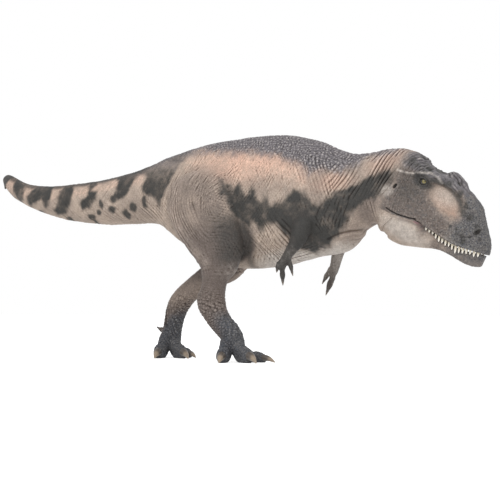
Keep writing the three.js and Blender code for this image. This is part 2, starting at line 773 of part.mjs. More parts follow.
function armSkin(shares, side, grow = 0) {
  const rows = shares.map(([along, out, up, thick, front, back]) => ({
    at: inArm([along, out, up], side),
    size: new THREE.Vector3(thick, front, back).multiplyScalar(armLength),
  }));
  return loft(rows, { around: armFacets, between: 1, frameOf: hanging, grow });
}

function inArm([along, out, up], side) {
  const shoulder = new THREE.Vector3(
    tailSeamX + shoulderShare[0] * trunkLength,
    side * shoulderShare[1] * halfTrunk,
    shoulderShare[2] * backHeight,
  );
  return shoulder.add(new THREE.Vector3(along, side * out, up).multiplyScalar(armLength));
}

const fingerTaperShares = [
  [0.0, 1.0],
  [0.3, 0.85],
  [0.45, 1.02],
  [0.62, 0.85],
  [0.72, 0.6],
  [0.88, 0.35],
  [1.0, 0.1],
];

function fingerSkin({ rootShare, tipShare, thickShare }, side) {
  const [root, tip] = [inArm(rootShare, side), inArm(tipShare, side)];
  const rows = fingerTaperShares.map(([along, taper]) => {
    const half = taper * thickShare * armLength;
    return { at: root.clone().lerp(tip, along), size: new THREE.Vector3(half, half, half) };
  });
  return loft(rows, { around: clawFacets, between: 1, frameOf: hanging });
}

// Assembly.
const figure = new THREE.Group();

function place(name, solid, { colour, roughness, metalness = 0 }) {
  const material = new THREE.MeshStandardMaterial({ color: colour, roughness, metalness });
  const mesh = new THREE.Mesh(geometryOf(solid.asOriginal().simplify(cleanTolerance)), material);
  mesh.name = name;
  figure.add(mesh);
}

const skin = bodySkin(0).add(headSkin());
const tailSeam = new THREE.Vector3(tailSeamX, 0, 0);
const headSeam = new THREE.Vector3(headSeamX, 0, 0);
const backward = forward.clone().negate();
const half = seamGap / 2;

// Trunk: a hollow shell, dished where the limbs seat.
const limbs = [
  { side: -1, leg: rightLegShares, arm: rightArmShares },
  { side: 1, leg: leftLegShares, arm: leftArmShares },
];
const hipPegShares = { right: [-0.17, 0.98], left: [-0.22, 0.96] };

function hipPeg(side, grow) {
  const [along, up] = side < 0 ? hipPegShares.right : hipPegShares.left;
  const shares = side < 0 ? rightLegShares : leftLegShares;
  const inner = (shares[2][1] - shares[2][3]) * hipHeight;
  const sizes = new THREE.Vector3(hipPegSide, 2 * hipPegLength, hipPegSide).addScalar(2 * grow);
  return box(sizes, new THREE.Vector3(along * hipHeight, side * inner, up * hipHeight));
}

function shoulderPeg(side, grow) {
  const root = inArm([0, 0, 0], side);
  const inside = root.clone().addScaledVector(leftward, -side * (shoulderPegLength + grow));
  return rodAlong(shoulderPegRadius + grow, root, inside);
}

let trunk = skin.subtract(beyond(tailSeam.clone().addScaledVector(forward, half), backward));
trunk = trunk.subtract(beyond(headSeam.clone().addScaledVector(forward, -half), forward));
let hollow = bodySkin(-shellWall, hollowFacets)
  .subtract(beyond(tailSeam.clone().addScaledVector(forward, shellWall), backward))
  .subtract(beyond(headSeam.clone().addScaledVector(forward, -shellWall), forward));
for (const { side, leg, arm } of limbs) {
  trunk = trunk.subtract(legSkin(leg, side, seamGap)).subtract(armSkin(arm, side, armClearance));
  hollow = hollow.subtract(legSkin(leg, side, shellWall)).subtract(armSkin(arm, side, shellWall));
}
const bossShares = [
  [0.12, 0.86],
  [0.5, 0.52],
  [0.55, 0.93],
  [0.93, 0.84],
];
const bosses = bossShares.map(
  ([along, up]) => new THREE.Vector3(tailSeamX + along * trunkLength, 0, up * backHeight),
);
for (const at of bosses) hollow = hollow.subtract(rodAlongY(bossRadius, 2 * halfTrunk, at));
trunk = trunk.subtract(hollow);
const socketLength = plugLength + 2 * seamGap;
for (const seamX of [tailSeamX, headSeamX]) {
  trunk = trunk.subtract(plugAt(seamX, plugInset - seamGap, socketLength));
}
for (const side of [-1, 1]) {
  trunk = trunk.subtract(hipPeg(side, seamGap)).subtract(shoulderPeg(side, seamGap));
}
const middle = new THREE.Vector3();
const rightward = leftward.clone().negate();
let leftShell = trunk.subtract(beyond(middle.clone().addScaledVector(leftward, half), rightward));
let rightShell = trunk.subtract(beyond(middle.clone().addScaledVector(leftward, -half), leftward));
for (const at of bosses) {
  const inner = at.clone().addScaledVector(leftward, bossPinLength);
  const outer = at.clone().addScaledVector(leftward, -bossPinLength);
  leftShell = leftShell.add(rodAlong(bossPinRadius, inner, outer));
  outer.addScaledVector(leftward, -seamGap);
  rightShell = rightShell.subtract(rodAlong(bossPinRadius + seamGap, at, outer));
}
place("trunk_left_shell", leftShell, soft);
place("trunk_right_shell", rightShell, soft);

// Tail: solid, with a keyed plug and a stepped bore that holds the balance weight.
const weightAxisShare = 0.738; // height of the weight's axis over the back's height
const weightStepShares = [
  [0, 0.38, 1],
  [0.38, 0.65, 0.84],
  [0.65, 1, 0.58],
];

function balanceWeight(grow) {
  const at = (share, extra) =>
    new THREE.Vector3(
      tailSeamX + plugLength / 2 - share * weightLength + extra,
      0,
      weightAxisShare * backHeight,
    );
  const steps = weightStepShares.map(([start, end, radius]) =>
    rodAlong(radius * weightRadius + grow, at(start, grow), at(end, -grow)),
  );
  return joined(steps);
}

const tail = skin
  .subtract(beyond(tailSeam.clone().addScaledVector(forward, -half), forward))
  .add(plugAt(tailSeamX, plugInset, plugLength))
  .subtract(balanceWeight(seamGap));
place("tail", tail, soft);
place("balance_weight", balanceWeight(0), { colour: "#b5b8ba", roughness: 0.35, metalness: 1 });

// Head: open below the upper lip, with a ball socket and a boss pocket for the jaw.
const jawGape = belowLip(1, throatAngle);
const belowHinge = beyond(hinge.clone().addScaledVector(headUp, half), headUp.clone().negate());
const bossPocket = rodAlongY(jawBossRadius + seamGap, jawBossWidth + 2 * seamGap, hinge);
const pinBore = hingePinRadius + hingePinClearance;
const eyeSinkShares = { skull: 0.88, eye: 0.55 };
const eyes = [-1, 1].map((side) => {
  const outside = eyeSinkShares.skull * headHalfWidth(eyeShare[0]);
  return inHead(eyeShare[0], side * (outside - eyeSinkShares.eye * eyeRadius), eyeShare[1]);
});

function bead(middle, radius) {
  const ball = new THREE.SphereGeometry(radius, pinFacets, pinFacets / 2);
  return solidOf(ball.translate(...middle.toArray()));
}

const skullFloor = inHead(0, 0, 0);
const skullFrontShare = 0.72;
const skullHollow = bodySkin(-shellWall, hollowFacets)
  .add(headCore(-shellWall))
  .subtract(beyond(headSeam.clone().addScaledVector(forward, shellWall), backward))
  .subtract(beyond(skullFloor, headUp.clone().negate()))
  .subtract(beyond(inHead(skullFrontShare, 0, 0), headAlong))
  .subtract(ballAt(jawBallRadius + seamGap + shellWall))
  .subtract(rodAlongY(jawBossRadius + shellWall, jawBossWidth + 2 * shellWall, hinge))
  .subtract(joined(eyes.map((eye) => bead(eye, eyeRadius + shellWall))));
const neckBore = plugAt(headSeamX, plugInset + shellWall, plugLength + shellWall).subtract(
  ballAt(jawBallRadius + seamGap + shellWall),
);
let head = skin
  .subtract(beyond(headSeam.clone().addScaledVector(forward, half), backward))
  .subtract(jawGape)
  .subtract(ballAt(jawBallRadius + seamGap).intersect(belowHinge))
  .subtract(bossPocket)
  .subtract(upperMouthHollow())
  .add(plugAt(headSeamX, plugInset, plugLength))
  .subtract(skullHollow)
  .subtract(neckBore);
head = head.subtract(rodAlongY(pinBore, hingePinLength + 2 * seamGap, hinge));
for (const eye of eyes) head = head.subtract(bead(eye, eyeRadius + seamGap));
place("head", head, soft);

// Lower jaw: below the lower lip, narrower beside the teeth, a ball at the throat.
const cheekEndShare = 0.4;
const jawSides = mouthBar(
  cheekEndShare,
  1,
  (along) => {
    const narrow = THREE.MathUtils.smoothstep(along, cheekEndShare, gumStartShare);
    return THREE.MathUtils.lerp(halfSkull, lowerJawHalf(Math.min(along, gumEndShare)), narrow);
  },
  () => -headShares[3][1],
  () => headShares[3][1],
);
const cheekEnd = inHead(cheekEndShare, 0, 0).addScaledVector(headAlong, seamGap);
const behindCheek = beyond(cheekEnd, headAlong.clone().negate());
const slideAngle = throatAngle + slideShare * jawOpening;
const cheeks = belowLip(2, slideAngle).intersect(jawSides.add(behindCheek));
const sliding = ballAt(jawBallRadius).intersect(belowLip(2, throatAngle));
const jaw = skin
  .intersect(cheeks.add(sliding))
  .add(rodAlongY(jawBossRadius, jawBossWidth, hinge))
  .subtract(lowerMouthHollow())
  .subtract(rodAlongY(pinBore, 2 * hingePinLength, hinge));
place("lower_jaw", jaw, soft);
place("jaw_hinge_pin", rodAlongY(hingePinRadius, hingePinLength, hinge), {
  colour: "#b5b8ba",
  roughness: 0.3,
  metalness: 1,
});

// Mouth: two rows of teeth, the palate and the tongue.
const ivory = { colour: "#e8e0d0", roughness: 0.4 };
const flesh = { colour: "#a8676b", roughness: 0.45 };
const gapShare = seamGap / skullLength;
const upperEnd = gumEndShare - gapShare;
const lowerEnd = lowerGumEndShare - gapShare;
const upperGumHalf = (along) => upperLipHalf(along) - seamGap;
const lowerGumHalf = (along) => lowerLipHalf(along) - seamGap;
const upperRow = toothRow({
  column: 1,
  direction: -1,
  depthShare: mouthShare.roof,
  end: upperEnd,
  outerHalf: upperGumHalf,
  rowLengthShares: upperToothShares,
});
place("upper_tooth_row", upperRow, ivory);
const lowerRow = toothRow({
  column: 2,
  direction: 1,
  depthShare: mouthShare.floor,
  end: lowerEnd,
  outerHalf: lowerGumHalf,
  rowLengthShares: lowerToothShares,
});
place("lower_tooth_row", lowerRow, ivory);
const insideGum = gumWidth + seamGap;
const palate = mouthBar(
  gumStartShare + gapShare,
  upperEnd - insideGum / skullLength,
  (along) => upperGumHalf(along) - insideGum,
  (along) => lipHeight(along, 1) + mouthShare.roof / 2,
  (along) => lipHeight(along, 1) + mouthShare.roof - gapShare,
);
place("palate", palate, flesh);
const tongueEndShare = 0.82;
const tongue = mouthBar(
  gumStartShare + gapShare,
  tongueEndShare,
  (along) => lowerGumHalf(along) - insideGum,
  (along) => lipHeight(along, 2) - mouthShare.floor + gapShare,
  (along) => lipHeight(along, 2) - mouthShare.floor + mouthShare.tongue,
);
place("tongue", tongue, flesh);
eyes.forEach((eye, i) => {
  const glossy = { colour: "#8c7a35", roughness: 0.1 };
  place(["right_eye", "left_eye"][i], bead(eye, eyeRadius), glossy);
});

// Legs and feet, then arms.
const rightSpurHeading = 150;
const leftSpurHeading = 165;
const right = legParts(rightLegShares, -1, rightToes, -rightSpurHeading);
const left = legParts(leftLegShares, 1, leftToes, leftSpurHeading);
place("right_leg", right.leg.add(hipPeg(-1, 0)), soft);
place("right_foot", right.foot, soft);
place("left_leg", left.leg.add(hipPeg(1, 0)), soft);
place("left_foot", left.foot, soft);
for (const [name, shares, fingers, side] of [
  ["right_arm", rightArmShares, rightFingers, -1],
  ["left_arm", leftArmShares, leftFingers, 1],
]) {
  const arm = joined([
    armSkin(shares, side),
    shoulderPeg(side, 0),
    ...fingers.map((finger) => fingerSkin(finger, side)),
  ]);
  place(name, arm, soft);
}

// The frame's origin lies on the floor under the middle of the figure's box.
const bounds = new THREE.Box3().setFromObject(figure);
const centre = bounds.getCenter(new THREE.Vector3());
figure.position.set(-centre.x, -centre.y, -bounds.min.z);

export default figure;
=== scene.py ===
import itertools
import json
import math

import bmesh
import bpy
import numpy as np
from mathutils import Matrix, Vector

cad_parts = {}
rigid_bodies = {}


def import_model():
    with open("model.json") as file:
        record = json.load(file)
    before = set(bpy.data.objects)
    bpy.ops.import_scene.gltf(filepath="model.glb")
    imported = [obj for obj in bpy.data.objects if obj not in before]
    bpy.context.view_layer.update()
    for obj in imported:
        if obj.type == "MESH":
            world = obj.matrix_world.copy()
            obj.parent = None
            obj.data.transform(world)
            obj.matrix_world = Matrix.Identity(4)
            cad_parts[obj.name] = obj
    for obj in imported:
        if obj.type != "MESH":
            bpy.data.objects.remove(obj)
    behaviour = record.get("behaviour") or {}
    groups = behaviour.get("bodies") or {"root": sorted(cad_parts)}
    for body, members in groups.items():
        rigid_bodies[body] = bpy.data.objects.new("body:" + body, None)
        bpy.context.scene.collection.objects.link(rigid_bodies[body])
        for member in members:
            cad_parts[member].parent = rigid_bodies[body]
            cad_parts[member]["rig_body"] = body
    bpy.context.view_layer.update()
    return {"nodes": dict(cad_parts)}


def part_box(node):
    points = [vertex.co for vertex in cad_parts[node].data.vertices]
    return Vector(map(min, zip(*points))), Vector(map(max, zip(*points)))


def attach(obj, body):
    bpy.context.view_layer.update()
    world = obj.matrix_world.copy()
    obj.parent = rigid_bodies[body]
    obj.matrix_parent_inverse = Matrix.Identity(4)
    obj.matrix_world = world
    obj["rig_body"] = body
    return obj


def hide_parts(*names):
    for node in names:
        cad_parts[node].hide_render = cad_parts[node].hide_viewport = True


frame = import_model()

# The figure is modelled in millimetres in the sculptor's own frame, with the hip over its
# origin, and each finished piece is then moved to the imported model's frame, in metres.
MM = 0.001
trunk_length = 151.0  # tail seam to head seam
tail_length = 140.0
back_height = 134.0
trunk_width = 49.0
skull_length = 72.6
skull_width = 28.4
head_pitch = math.radians(27.0)
hip_height = 104.0
arm_length = 34.0
toe_length = 23.0
claw_length = 8.5
jaw_opening = math.radians(26.0)
lip_wall = 0.9
gum_width = 1.7
tooth_spacing = 2.15
tooth_length = 4.0
jaw_ball_radius = 12.9
eye_radius = 2.6
seam_gap = 0.3
reach = 400.0  # side of a cutting block, longer than the figure
far_low = (-reach, -reach, -reach)
far_high = (reach, reach, reach)

# Grid of the remesh that fuses the lofts, finer where the sculpting is.
body_voxel = 0.5
fine_voxel = 0.34
cell_voxel = 1.0
relief_rounds = 12  # rounds of averaging that leave a skin's broad shape
heal_rounds = 3
hip_share = 0.437
tail_seam_x = -hip_share * trunk_length
head_seam_x = (1 - hip_share) * trunk_length

# Trunk and neck from the tail seam forwards: place, top, bottom and half width.
trunk_shares = [
    (0.0, 0.888, 0.625, 0.59), (0.07, 0.917, 0.609, 0.65), (0.14, 0.939, 0.548, 0.71),
    (0.21, 0.959, 0.494, 0.775), (0.28, 0.975, 0.456, 0.825), (0.35, 0.985, 0.426, 0.87),
    (0.42, 0.991, 0.411, 0.92), (0.49, 0.997, 0.409, 0.97), (0.56, 1.0, 0.414, 1.0),
    (0.63, 0.997, 0.423, 1.0), (0.7, 0.983, 0.442, 0.975), (0.77, 0.962, 0.461, 0.92),
    (0.83, 0.936, 0.467, 0.84), (0.88, 0.911, 0.479, 0.755), (0.92, 0.9, 0.516, 0.68),
    (0.96, 0.898, 0.568, 0.625), (1.0, 0.902, 0.585, 0.585), (1.06, 0.914, 0.597, 0.545),
    (1.12, 0.914, 0.626, 0.49),
]
# Tail from its tip forwards: place, drift to the left, top, bottom and half width.
tail_shares = [
    (1.0, 0.275, 0.844, 0.832, 0.03), (0.975, 0.243, 0.871, 0.849, 0.055),
    (0.935, 0.193, 0.886, 0.855, 0.085), (0.89, 0.143, 0.892, 0.848, 0.12),
    (0.85, 0.1, 0.89, 0.83, 0.155), (0.8, 0.064, 0.876, 0.795, 0.195),
    (0.75, 0.039, 0.857, 0.763, 0.225), (0.69, 0.021, 0.835, 0.735, 0.255),
    (0.63, 0.009, 0.822, 0.708, 0.285), (0.56, 0.003, 0.816, 0.684, 0.32),
    (0.48, 0, 0.815, 0.661, 0.365), (0.4, 0, 0.82, 0.645, 0.41),
    (0.32, 0, 0.825, 0.633, 0.46), (0.24, 0, 0.834, 0.625, 0.505),
    (0.16, 0, 0.848, 0.623, 0.545), (0.08, 0, 0.865, 0.623, 0.575),
]
belt_share = 0.44
tail_belt_share = 0.5
# Head from the nape forwards: place, top, bottom and half width.
head_shares = [
    (-0.11, 0.27, -0.2, 0.87), (0.0, 0.335, -0.25, 0.96), (0.083, 0.36, -0.296, 1.0),
    (0.165, 0.357, -0.33, 1.0), (0.248, 0.328, -0.347, 0.98), (0.33, 0.307, -0.343, 0.93),
    (0.413, 0.296, -0.317, 0.86), (0.496, 0.284, -0.284, 0.785), (0.579, 0.262, -0.251, 0.72),
    (0.661, 0.238, -0.232, 0.67), (0.744, 0.203, -0.233, 0.63), (0.826, 0.135, -0.238, 0.575),
    (0.895, 0.074, -0.236, 0.505), (0.95, 0.018, -0.225, 0.4), (0.985, -0.03, -0.2, 0.27),
    (1.0, -0.07, -0.165, 0.12),
]
head_belt_share = -0.04
skull_power = 3.1
chin_power = 2.6
hinge_share = (0.23, -0.154)
# Lip lines: place, upper lip and lower lip.
lip_shares = [
    (0.23, -0.119, -0.123), (0.3, -0.109, -0.113), (0.375, -0.096, -0.1),
    (0.45, -0.097, -0.105), (0.49, -0.112, -0.128), (0.574, -0.121, -0.152),
    (0.654, -0.132, -0.169), (0.73, -0.136, -0.171), (0.8, -0.132, -0.161),
    (0.87, -0.12, -0.144), (0.935, -0.109, -0.124), (1.03, -0.097, -0.109),
]
gum_start_share = 0.47
gum_end_share = 0.965
lower_gum_end_share = 0.915
# Brow and snout ridges: place, height, distance from the middle, thickness, and
# how much lower the right one sits.
ridge_shares = [
    (0.17, 0.275, 0.13, 0.032, 0), (0.25, 0.265, 0.145, 0.042, 0.01),
    (0.32, 0.252, 0.14, 0.047, 0.012), (0.38, 0.262, 0.122, 0.05, 0.032),
    (0.44, 0.291, 0.1, 0.053, 0.045), (0.51, 0.281, 0.088, 0.05, 0.032),
    (0.59, 0.243, 0.08, 0.042, 0.01), (0.67, 0.214, 0.075, 0.037, 0),
    (0.75, 0.176, 0.068, 0.034, 0), (0.82, 0.108, 0.058, 0.03, 0),
    (0.89, 0.042, 0.048, 0.022, 0),
]
eye_share = (0.325, 0.195)
# Legs: forward, outward and up, then half thickness across, to the front and to the back.
leg_shares = {
    "right": [
        (-0.215, 0.155, 1.075, 0.035, 0.13, 0.13), (-0.2, 0.185, 1.015, 0.068, 0.185, 0.195),
        (-0.178, 0.205, 0.935, 0.083, 0.2, 0.22), (-0.132, 0.22, 0.838, 0.094, 0.198, 0.215),
        (-0.084, 0.23, 0.742, 0.102, 0.182, 0.195), (-0.05, 0.233, 0.64, 0.104, 0.155, 0.163),
        (-0.044, 0.235, 0.548, 0.092, 0.12, 0.125), (-0.063, 0.237, 0.473, 0.077, 0.077, 0.08),
        (-0.075, 0.238, 0.407, 0.07, 0.071, 0.073), (-0.084, 0.24, 0.336, 0.07, 0.08, 0.085),
        (-0.056, 0.242, 0.266, 0.063, 0.069, 0.069), (-0.014, 0.246, 0.212, 0.058, 0.061, 0.061),
        (0.033, 0.25, 0.165, 0.059, 0.059, 0.058), (0.065, 0.253, 0.125, 0.062, 0.055, 0.057),
        (0.088, 0.255, 0.09, 0.052, 0.042, 0.05), (0.1, 0.256, 0.062, 0.03, 0.024, 0.03),
    ],
    "left": [
        (-0.25, 0.155, 1.075, 0.035, 0.12, 0.12), (-0.235, 0.187, 1.015, 0.068, 0.18, 0.19),
        (-0.225, 0.205, 0.93, 0.083, 0.19, 0.2), (-0.212, 0.218, 0.84, 0.092, 0.18, 0.185),
        (-0.2, 0.224, 0.74, 0.097, 0.16, 0.165), (-0.205, 0.227, 0.645, 0.094, 0.14, 0.135),
        (-0.25, 0.23, 0.562, 0.083, 0.115, 0.097), (-0.336, 0.232, 0.503, 0.074, 0.084, 0.08),
        (-0.428, 0.234, 0.452, 0.067, 0.069, 0.067), (-0.514, 0.236, 0.394, 0.063, 0.063, 0.063),
        (-0.577, 0.238, 0.327, 0.062, 0.063, 0.064), (-0.609, 0.24, 0.255, 0.058, 0.058, 0.06),
        (-0.627, 0.243, 0.183, 0.056, 0.056, 0.056), (-0.637, 0.246, 0.125, 0.06, 0.056, 0.057),
        (-0.632, 0.248, 0.085, 0.052, 0.048, 0.05), (-0.628, 0.249, 0.055, 0.03, 0.028, 0.03),
    ],
}
knuckle_row = 13  # the leg's row over the knuckle that the toes spring from
foot_rows = slice(9, None)  # the leg's rows that the foot's skin is made with
foot_cut_share = 0.19
# One toe: along its length, height of its middle, half width and half height.
toe_shares = [
    (-0.22, 0.5, 0.16, 0.19), (0.0, 0.48, 0.175, 0.23), (0.2, 0.37, 0.17, 0.235),
    (0.4, 0.235, 0.165, 0.235), (0.54, 0.18, 0.145, 0.185), (0.7, 0.185, 0.16, 0.2),
    (0.88, 0.16, 0.14, 0.172), (1.0, 0.14, 0.1, 0.12),
]
claw_shares = [
    (-0.35, 0.16, 0.1, 0.1), (0.0, 0.17, 0.11, 0.115), (0.4, 0.145, 0.085, 0.09),
    (0.75, 0.085, 0.05, 0.056), (1.0, 0.025, 0.016, 0.02),
]
# Each toe: heading to the animal's right in degrees, length, height and root beside the knuckle.
toes = {
    "right": [(10, 0.86, 0.7, -0.16), (38, 1.0, 1.0, 0.0), (72, 0.8, 1.0, 0.17)],
    "left": [(74, 0.84, 1.0, 0.17), (40, 0.97, 0.95, 0.0), (16, 0.6, 0.7, -0.12)],
}
spur_shares = [
    (0.0, 0.08, 0.1, 0.12), (0.3, 0.03, 0.105, 0.11), (0.55, -0.01, 0.085, 0.085),
    (0.8, 0.03, 0.05, 0.05), (1.0, 0.09, 0.015, 0.015),
]
spur_heading = {"right": -150.0, "left": 165.0}
spur_length_share = 0.46
spur_height_share = 0.165
shoulder_share = (0.76, 0.82, 0.6)
arm_shares = {
    "right": [
        (0.03, -0.1, 0.06, 0.1, 0.12, 0.12), (0.02, 0.0, 0.0, 0.14, 0.17, 0.17),
        (-0.01, 0.09, -0.14, 0.13, 0.17, 0.16), (-0.07, 0.12, -0.31, 0.11, 0.14, 0.12),
        (-0.17, 0.13, -0.46, 0.09, 0.1, 0.09), (-0.28, 0.14, -0.62, 0.075, 0.075, 0.075),
        (-0.33, 0.14, -0.7, 0.085, 0.08, 0.08), (-0.33, 0.14, -0.78, 0.06, 0.06, 0.06),
    ],
    "left": [
        (0.09, -0.1, 0.04, 0.1, 0.12, 0.12), (0.1, 0.0, -0.04, 0.14, 0.16, 0.16),
        (0.11, 0.02, -0.2, 0.13, 0.16, 0.15), (0.1, 0.03, -0.38, 0.11, 0.135, 0.12),
        (0.06, 0.03, -0.55, 0.09, 0.11, 0.1), (0.02, 0.03, -0.72, 0.08, 0.09, 0.09),
        (-0.02, 0.03, -0.81, 0.085, 0.09, 0.09), (-0.03, 0.03, -0.88, 0.06, 0.06, 0.06),
    ],
}
# Fingers: root, tip and half thickness.
finger_shares = {
    "right": [
        ((-0.33, 0.14, -0.7), (-0.32, 0.13, -1.06), 0.05),
        ((-0.37, 0.19, -0.66), (-0.4, 0.21, -0.84), 0.042),
        ((-0.24, 0.07, -0.58), (-0.17, 0.05, -0.9), 0.042),
    ],
    "left": [
        ((0.01, 0.03, -0.82), (-0.14, 0.0, -1.22), 0.055),
        ((-0.06, 0.04, -0.74), (-0.23, 0.04, -1.02), 0.046),
        ((0.03, -0.03, -0.8), (0.02, -0.07, -1.04), 0.044),
    ],
}
finger_taper_shares = [(0.0, 1.0), (0.3, 0.85), (0.45, 1.02), (0.62, 0.85), (0.76, 0.5)]
finger_claw_shares = [(0.55, 0.55), (0.68, 0.6), (0.8, 0.48), (0.9, 0.3), (1.0, 0.08)]
side_of = {"right": -1, "left": 1}

# The head's own frame lies at the back of the skull and looks down by the head's pitch.
nape_share = (0.046, 0.749)
head_along = np.array([math.cos(head_pitch), 0, -math.sin(head_pitch)])
head_up = np.array([math.sin(head_pitch), 0, math.cos(head_pitch)])
leftward = np.array([0.0, 1.0, 0.0])
upright = np.array([0.0, 0.0, 1.0])
forward = np.array([1.0, 0.0, 0.0])
nape = np.array([head_seam_x + nape_share[0] * trunk_length, 0, nape_share[1] * back_height])


def in_head(along, aside, up):
    """A place in the head: along and up in shares of the skull, aside in millimetres."""
    return nape + along * skull_length * head_along + aside * leftward + up * skull_length * head_up


hinge = in_head(hinge_share[0], 0, hinge_share[1])
pin_low, pin_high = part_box("jaw_hinge_pin")
# From the sculptor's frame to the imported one, found by the jaw's hinge pin.
home = np.array((pin_low + pin_high) / 2) / MM - hinge


# Camera: at the front right of the figure, low, as the photograph was taken.
view_turn = math.radians(28.0)
camera_distance = 970.0
camera_height = 34.0
camera_aside = 3.0
aim_height = 66.16
lens_mm = 116.4


def set_camera():
    """Places the camera where the photograph was taken from."""
    right = np.array([math.cos(view_turn), math.sin(view_turn), 0])
    towards = np.array([math.sin(view_turn), -math.cos(view_turn), 0])
    eye = home + camera_aside * right + camera_distance * towards
    eye[2] += camera_height
    aim = home + camera_aside * right
    aim[2] += aim_height
    bpy.ops.object.camera_add(location=eye * MM)
    camera = bpy.context.object
    camera.rotation_euler = Vector(aim - eye).to_track_quat("-Z", "Y").to_euler()
    camera.data.lens = lens_mm
    bpy.context.scene.camera = camera


# Small tools.
def linear(text):
    """An sRGB hex colour as linear RGBA."""
    values = [int(text[i:i + 2], 16) / 255 for i in (1, 3, 5)]
    return [v / 12.92 if v <= 0.04045 else ((v + 0.055) / 1.055) ** 2.4 for v in values] + [1.0]


def ramp(value, low, high):
    """0 below low, 1 above high and smooth between."""
    part = np.clip((value - low) / (high - low), 0, 1)
    return part * part * (3 - 2 * part)


def band(away, width):
    """1 where away is 0, and almost gone at twice the width."""
    return np.exp(-((away / width) ** 2))


# The noise hashes each cell's whole numbers with primes, so every run gives the same pattern.
seed_shift = 13.7
noise_origin = 50.0
cell_primes = (73856093, 19349663, 83492791)
stir_primes = (1274126177, 668265263)
hash_mask = 0x7FFFFFFF
hash_middle = 0x3FFFFFFF


def noise(points, size, seed=0):
    """Smooth random values from -1 to 1, with bumps about `size` across."""
    places = points / size + seed_shift * seed + noise_origin
    cells = np.floor(places).astype(np.int64)
    part = places - cells
    part = part * part * (3 - 2 * part)
    total = np.zeros(len(points))
    for corner in itertools.product((0, 1), repeat=3):
        whole = cells + corner
        x, y, z = (whole * cell_primes).T
        stirred = x ^ y ^ z
        stirred = (stirred ^ (stirred >> 13)) * stir_primes[0] & hash_mask
        stirred = (stirred ^ (stirred >> 15)) * stir_primes[1] & hash_mask
        share = np.prod(np.where(corner, part, 1 - part), axis=1)
        total += share * (stirred / hash_middle - 1)
    return total


def rough_noise(points, size, seed=0):
    """Noise with finer noise on it."""
    return (
        0.6 * noise(points, size, seed)
        + 0.3 * noise(points, size / 2, seed + 1)
        + 0.15 * noise(points, size / 4, seed + 2)
    )


def oval(flat, middle, radii, turn=0.0, soft=0.5):
    """1 inside a turned oval, fading to 0 round its edge."""
    cos, sin = math.cos(math.radians(turn)), math.sin(math.radians(turn))
    away = flat - np.array(middle)
    along = (away[:, 0] * cos + away[:, 1] * sin) / radii[0]
    across = (away[:, 1] * cos - away[:, 0] * sin) / radii[1]
    return 1 - ramp(np.hypot(along, across), 1 - soft, 1 + soft)


def distance_to_line(flat, line):
    """Distance from flat points to a line of corners."""
    nearest = np.full(len(flat), np.inf)
    for start, end in zip(np.array(line[:-1], float), np.array(line[1:], float)):
        along = end - start
        part = np.clip(((flat - start) @ along) / (along @ along), 0, 1)
        nearest = np.minimum(nearest, np.linalg.norm(flat - start - part[:, None] * along, axis=1))
    return nearest


def depth_inside(flat, outline):
    """Distance from flat points to a closed outline, negative outside it."""
    inside = np.zeros(len(flat), bool)
    corners = np.array(outline, float)
    for start, end in zip(corners, np.roll(corners, -1, axis=0)):
        if start[1] == end[1]:
            continue
        crosses = (start[1] > flat[:, 1]) != (end[1] > flat[:, 1])
        slope = (end[0] - start[0]) / (end[1] - start[1])
        inside ^= crosses & (flat[:, 0] < start[0] + (flat[:, 1] - start[1]) * slope)
    nearest = distance_to_line(flat, list(outline) + [outline[0]])
    return np.where(inside, nearest, -nearest)


# Meshes, all in the sculptor's frame until they are settled.
def new_piece(name, points, faces):
    """A mesh object from its points and faces."""
    mesh = bpy.data.meshes.new(name)
    mesh.from_pydata([tuple(point) for point in points], [], faces)
    piece = bpy.data.objects.new(name, mesh)
    bpy.context.collection.objects.link(piece)
    return piece


def smooth_rows(rows, between):
    """A smooth curve through the rows, with `between` steps from each to the next."""
    rows = np.array(rows, float)
    rows = np.vstack([2 * rows[0] - rows[1], rows, 2 * rows[-1] - rows[-2]])
    t = np.linspace(0, 1, between, endpoint=False)[:, None]
    found = []
    for a, b, c, d in zip(rows, rows[1:], rows[2:], rows[3:]):
        found.append(
            b + t * (c - a) / 2 + t**2 * (2 * a - 5 * b + 4 * c - d) / 2
            + t**3 * (3 * b - a - 3 * c + d) / 2
        )
    return np.vstack(found + [rows[-2:-1]])


def unit(vector):
    return vector / np.linalg.norm(vector)


# Ways to set a section across a heading: standing up, square to it, hanging down, or as the
# head stands. Each gives the section's sideways and upward directions.
def standing(heading):
    return unit(np.cross(upright, heading)), upright


def square_to(heading):
    across = unit(np.cross(upright, heading))
    return across, unit(np.cross(heading, across))


def hanging(heading):
    across = unit(np.cross(forward, heading))
    return across, unit(np.cross(heading, across))


def across_head(heading):
    return leftward, head_up


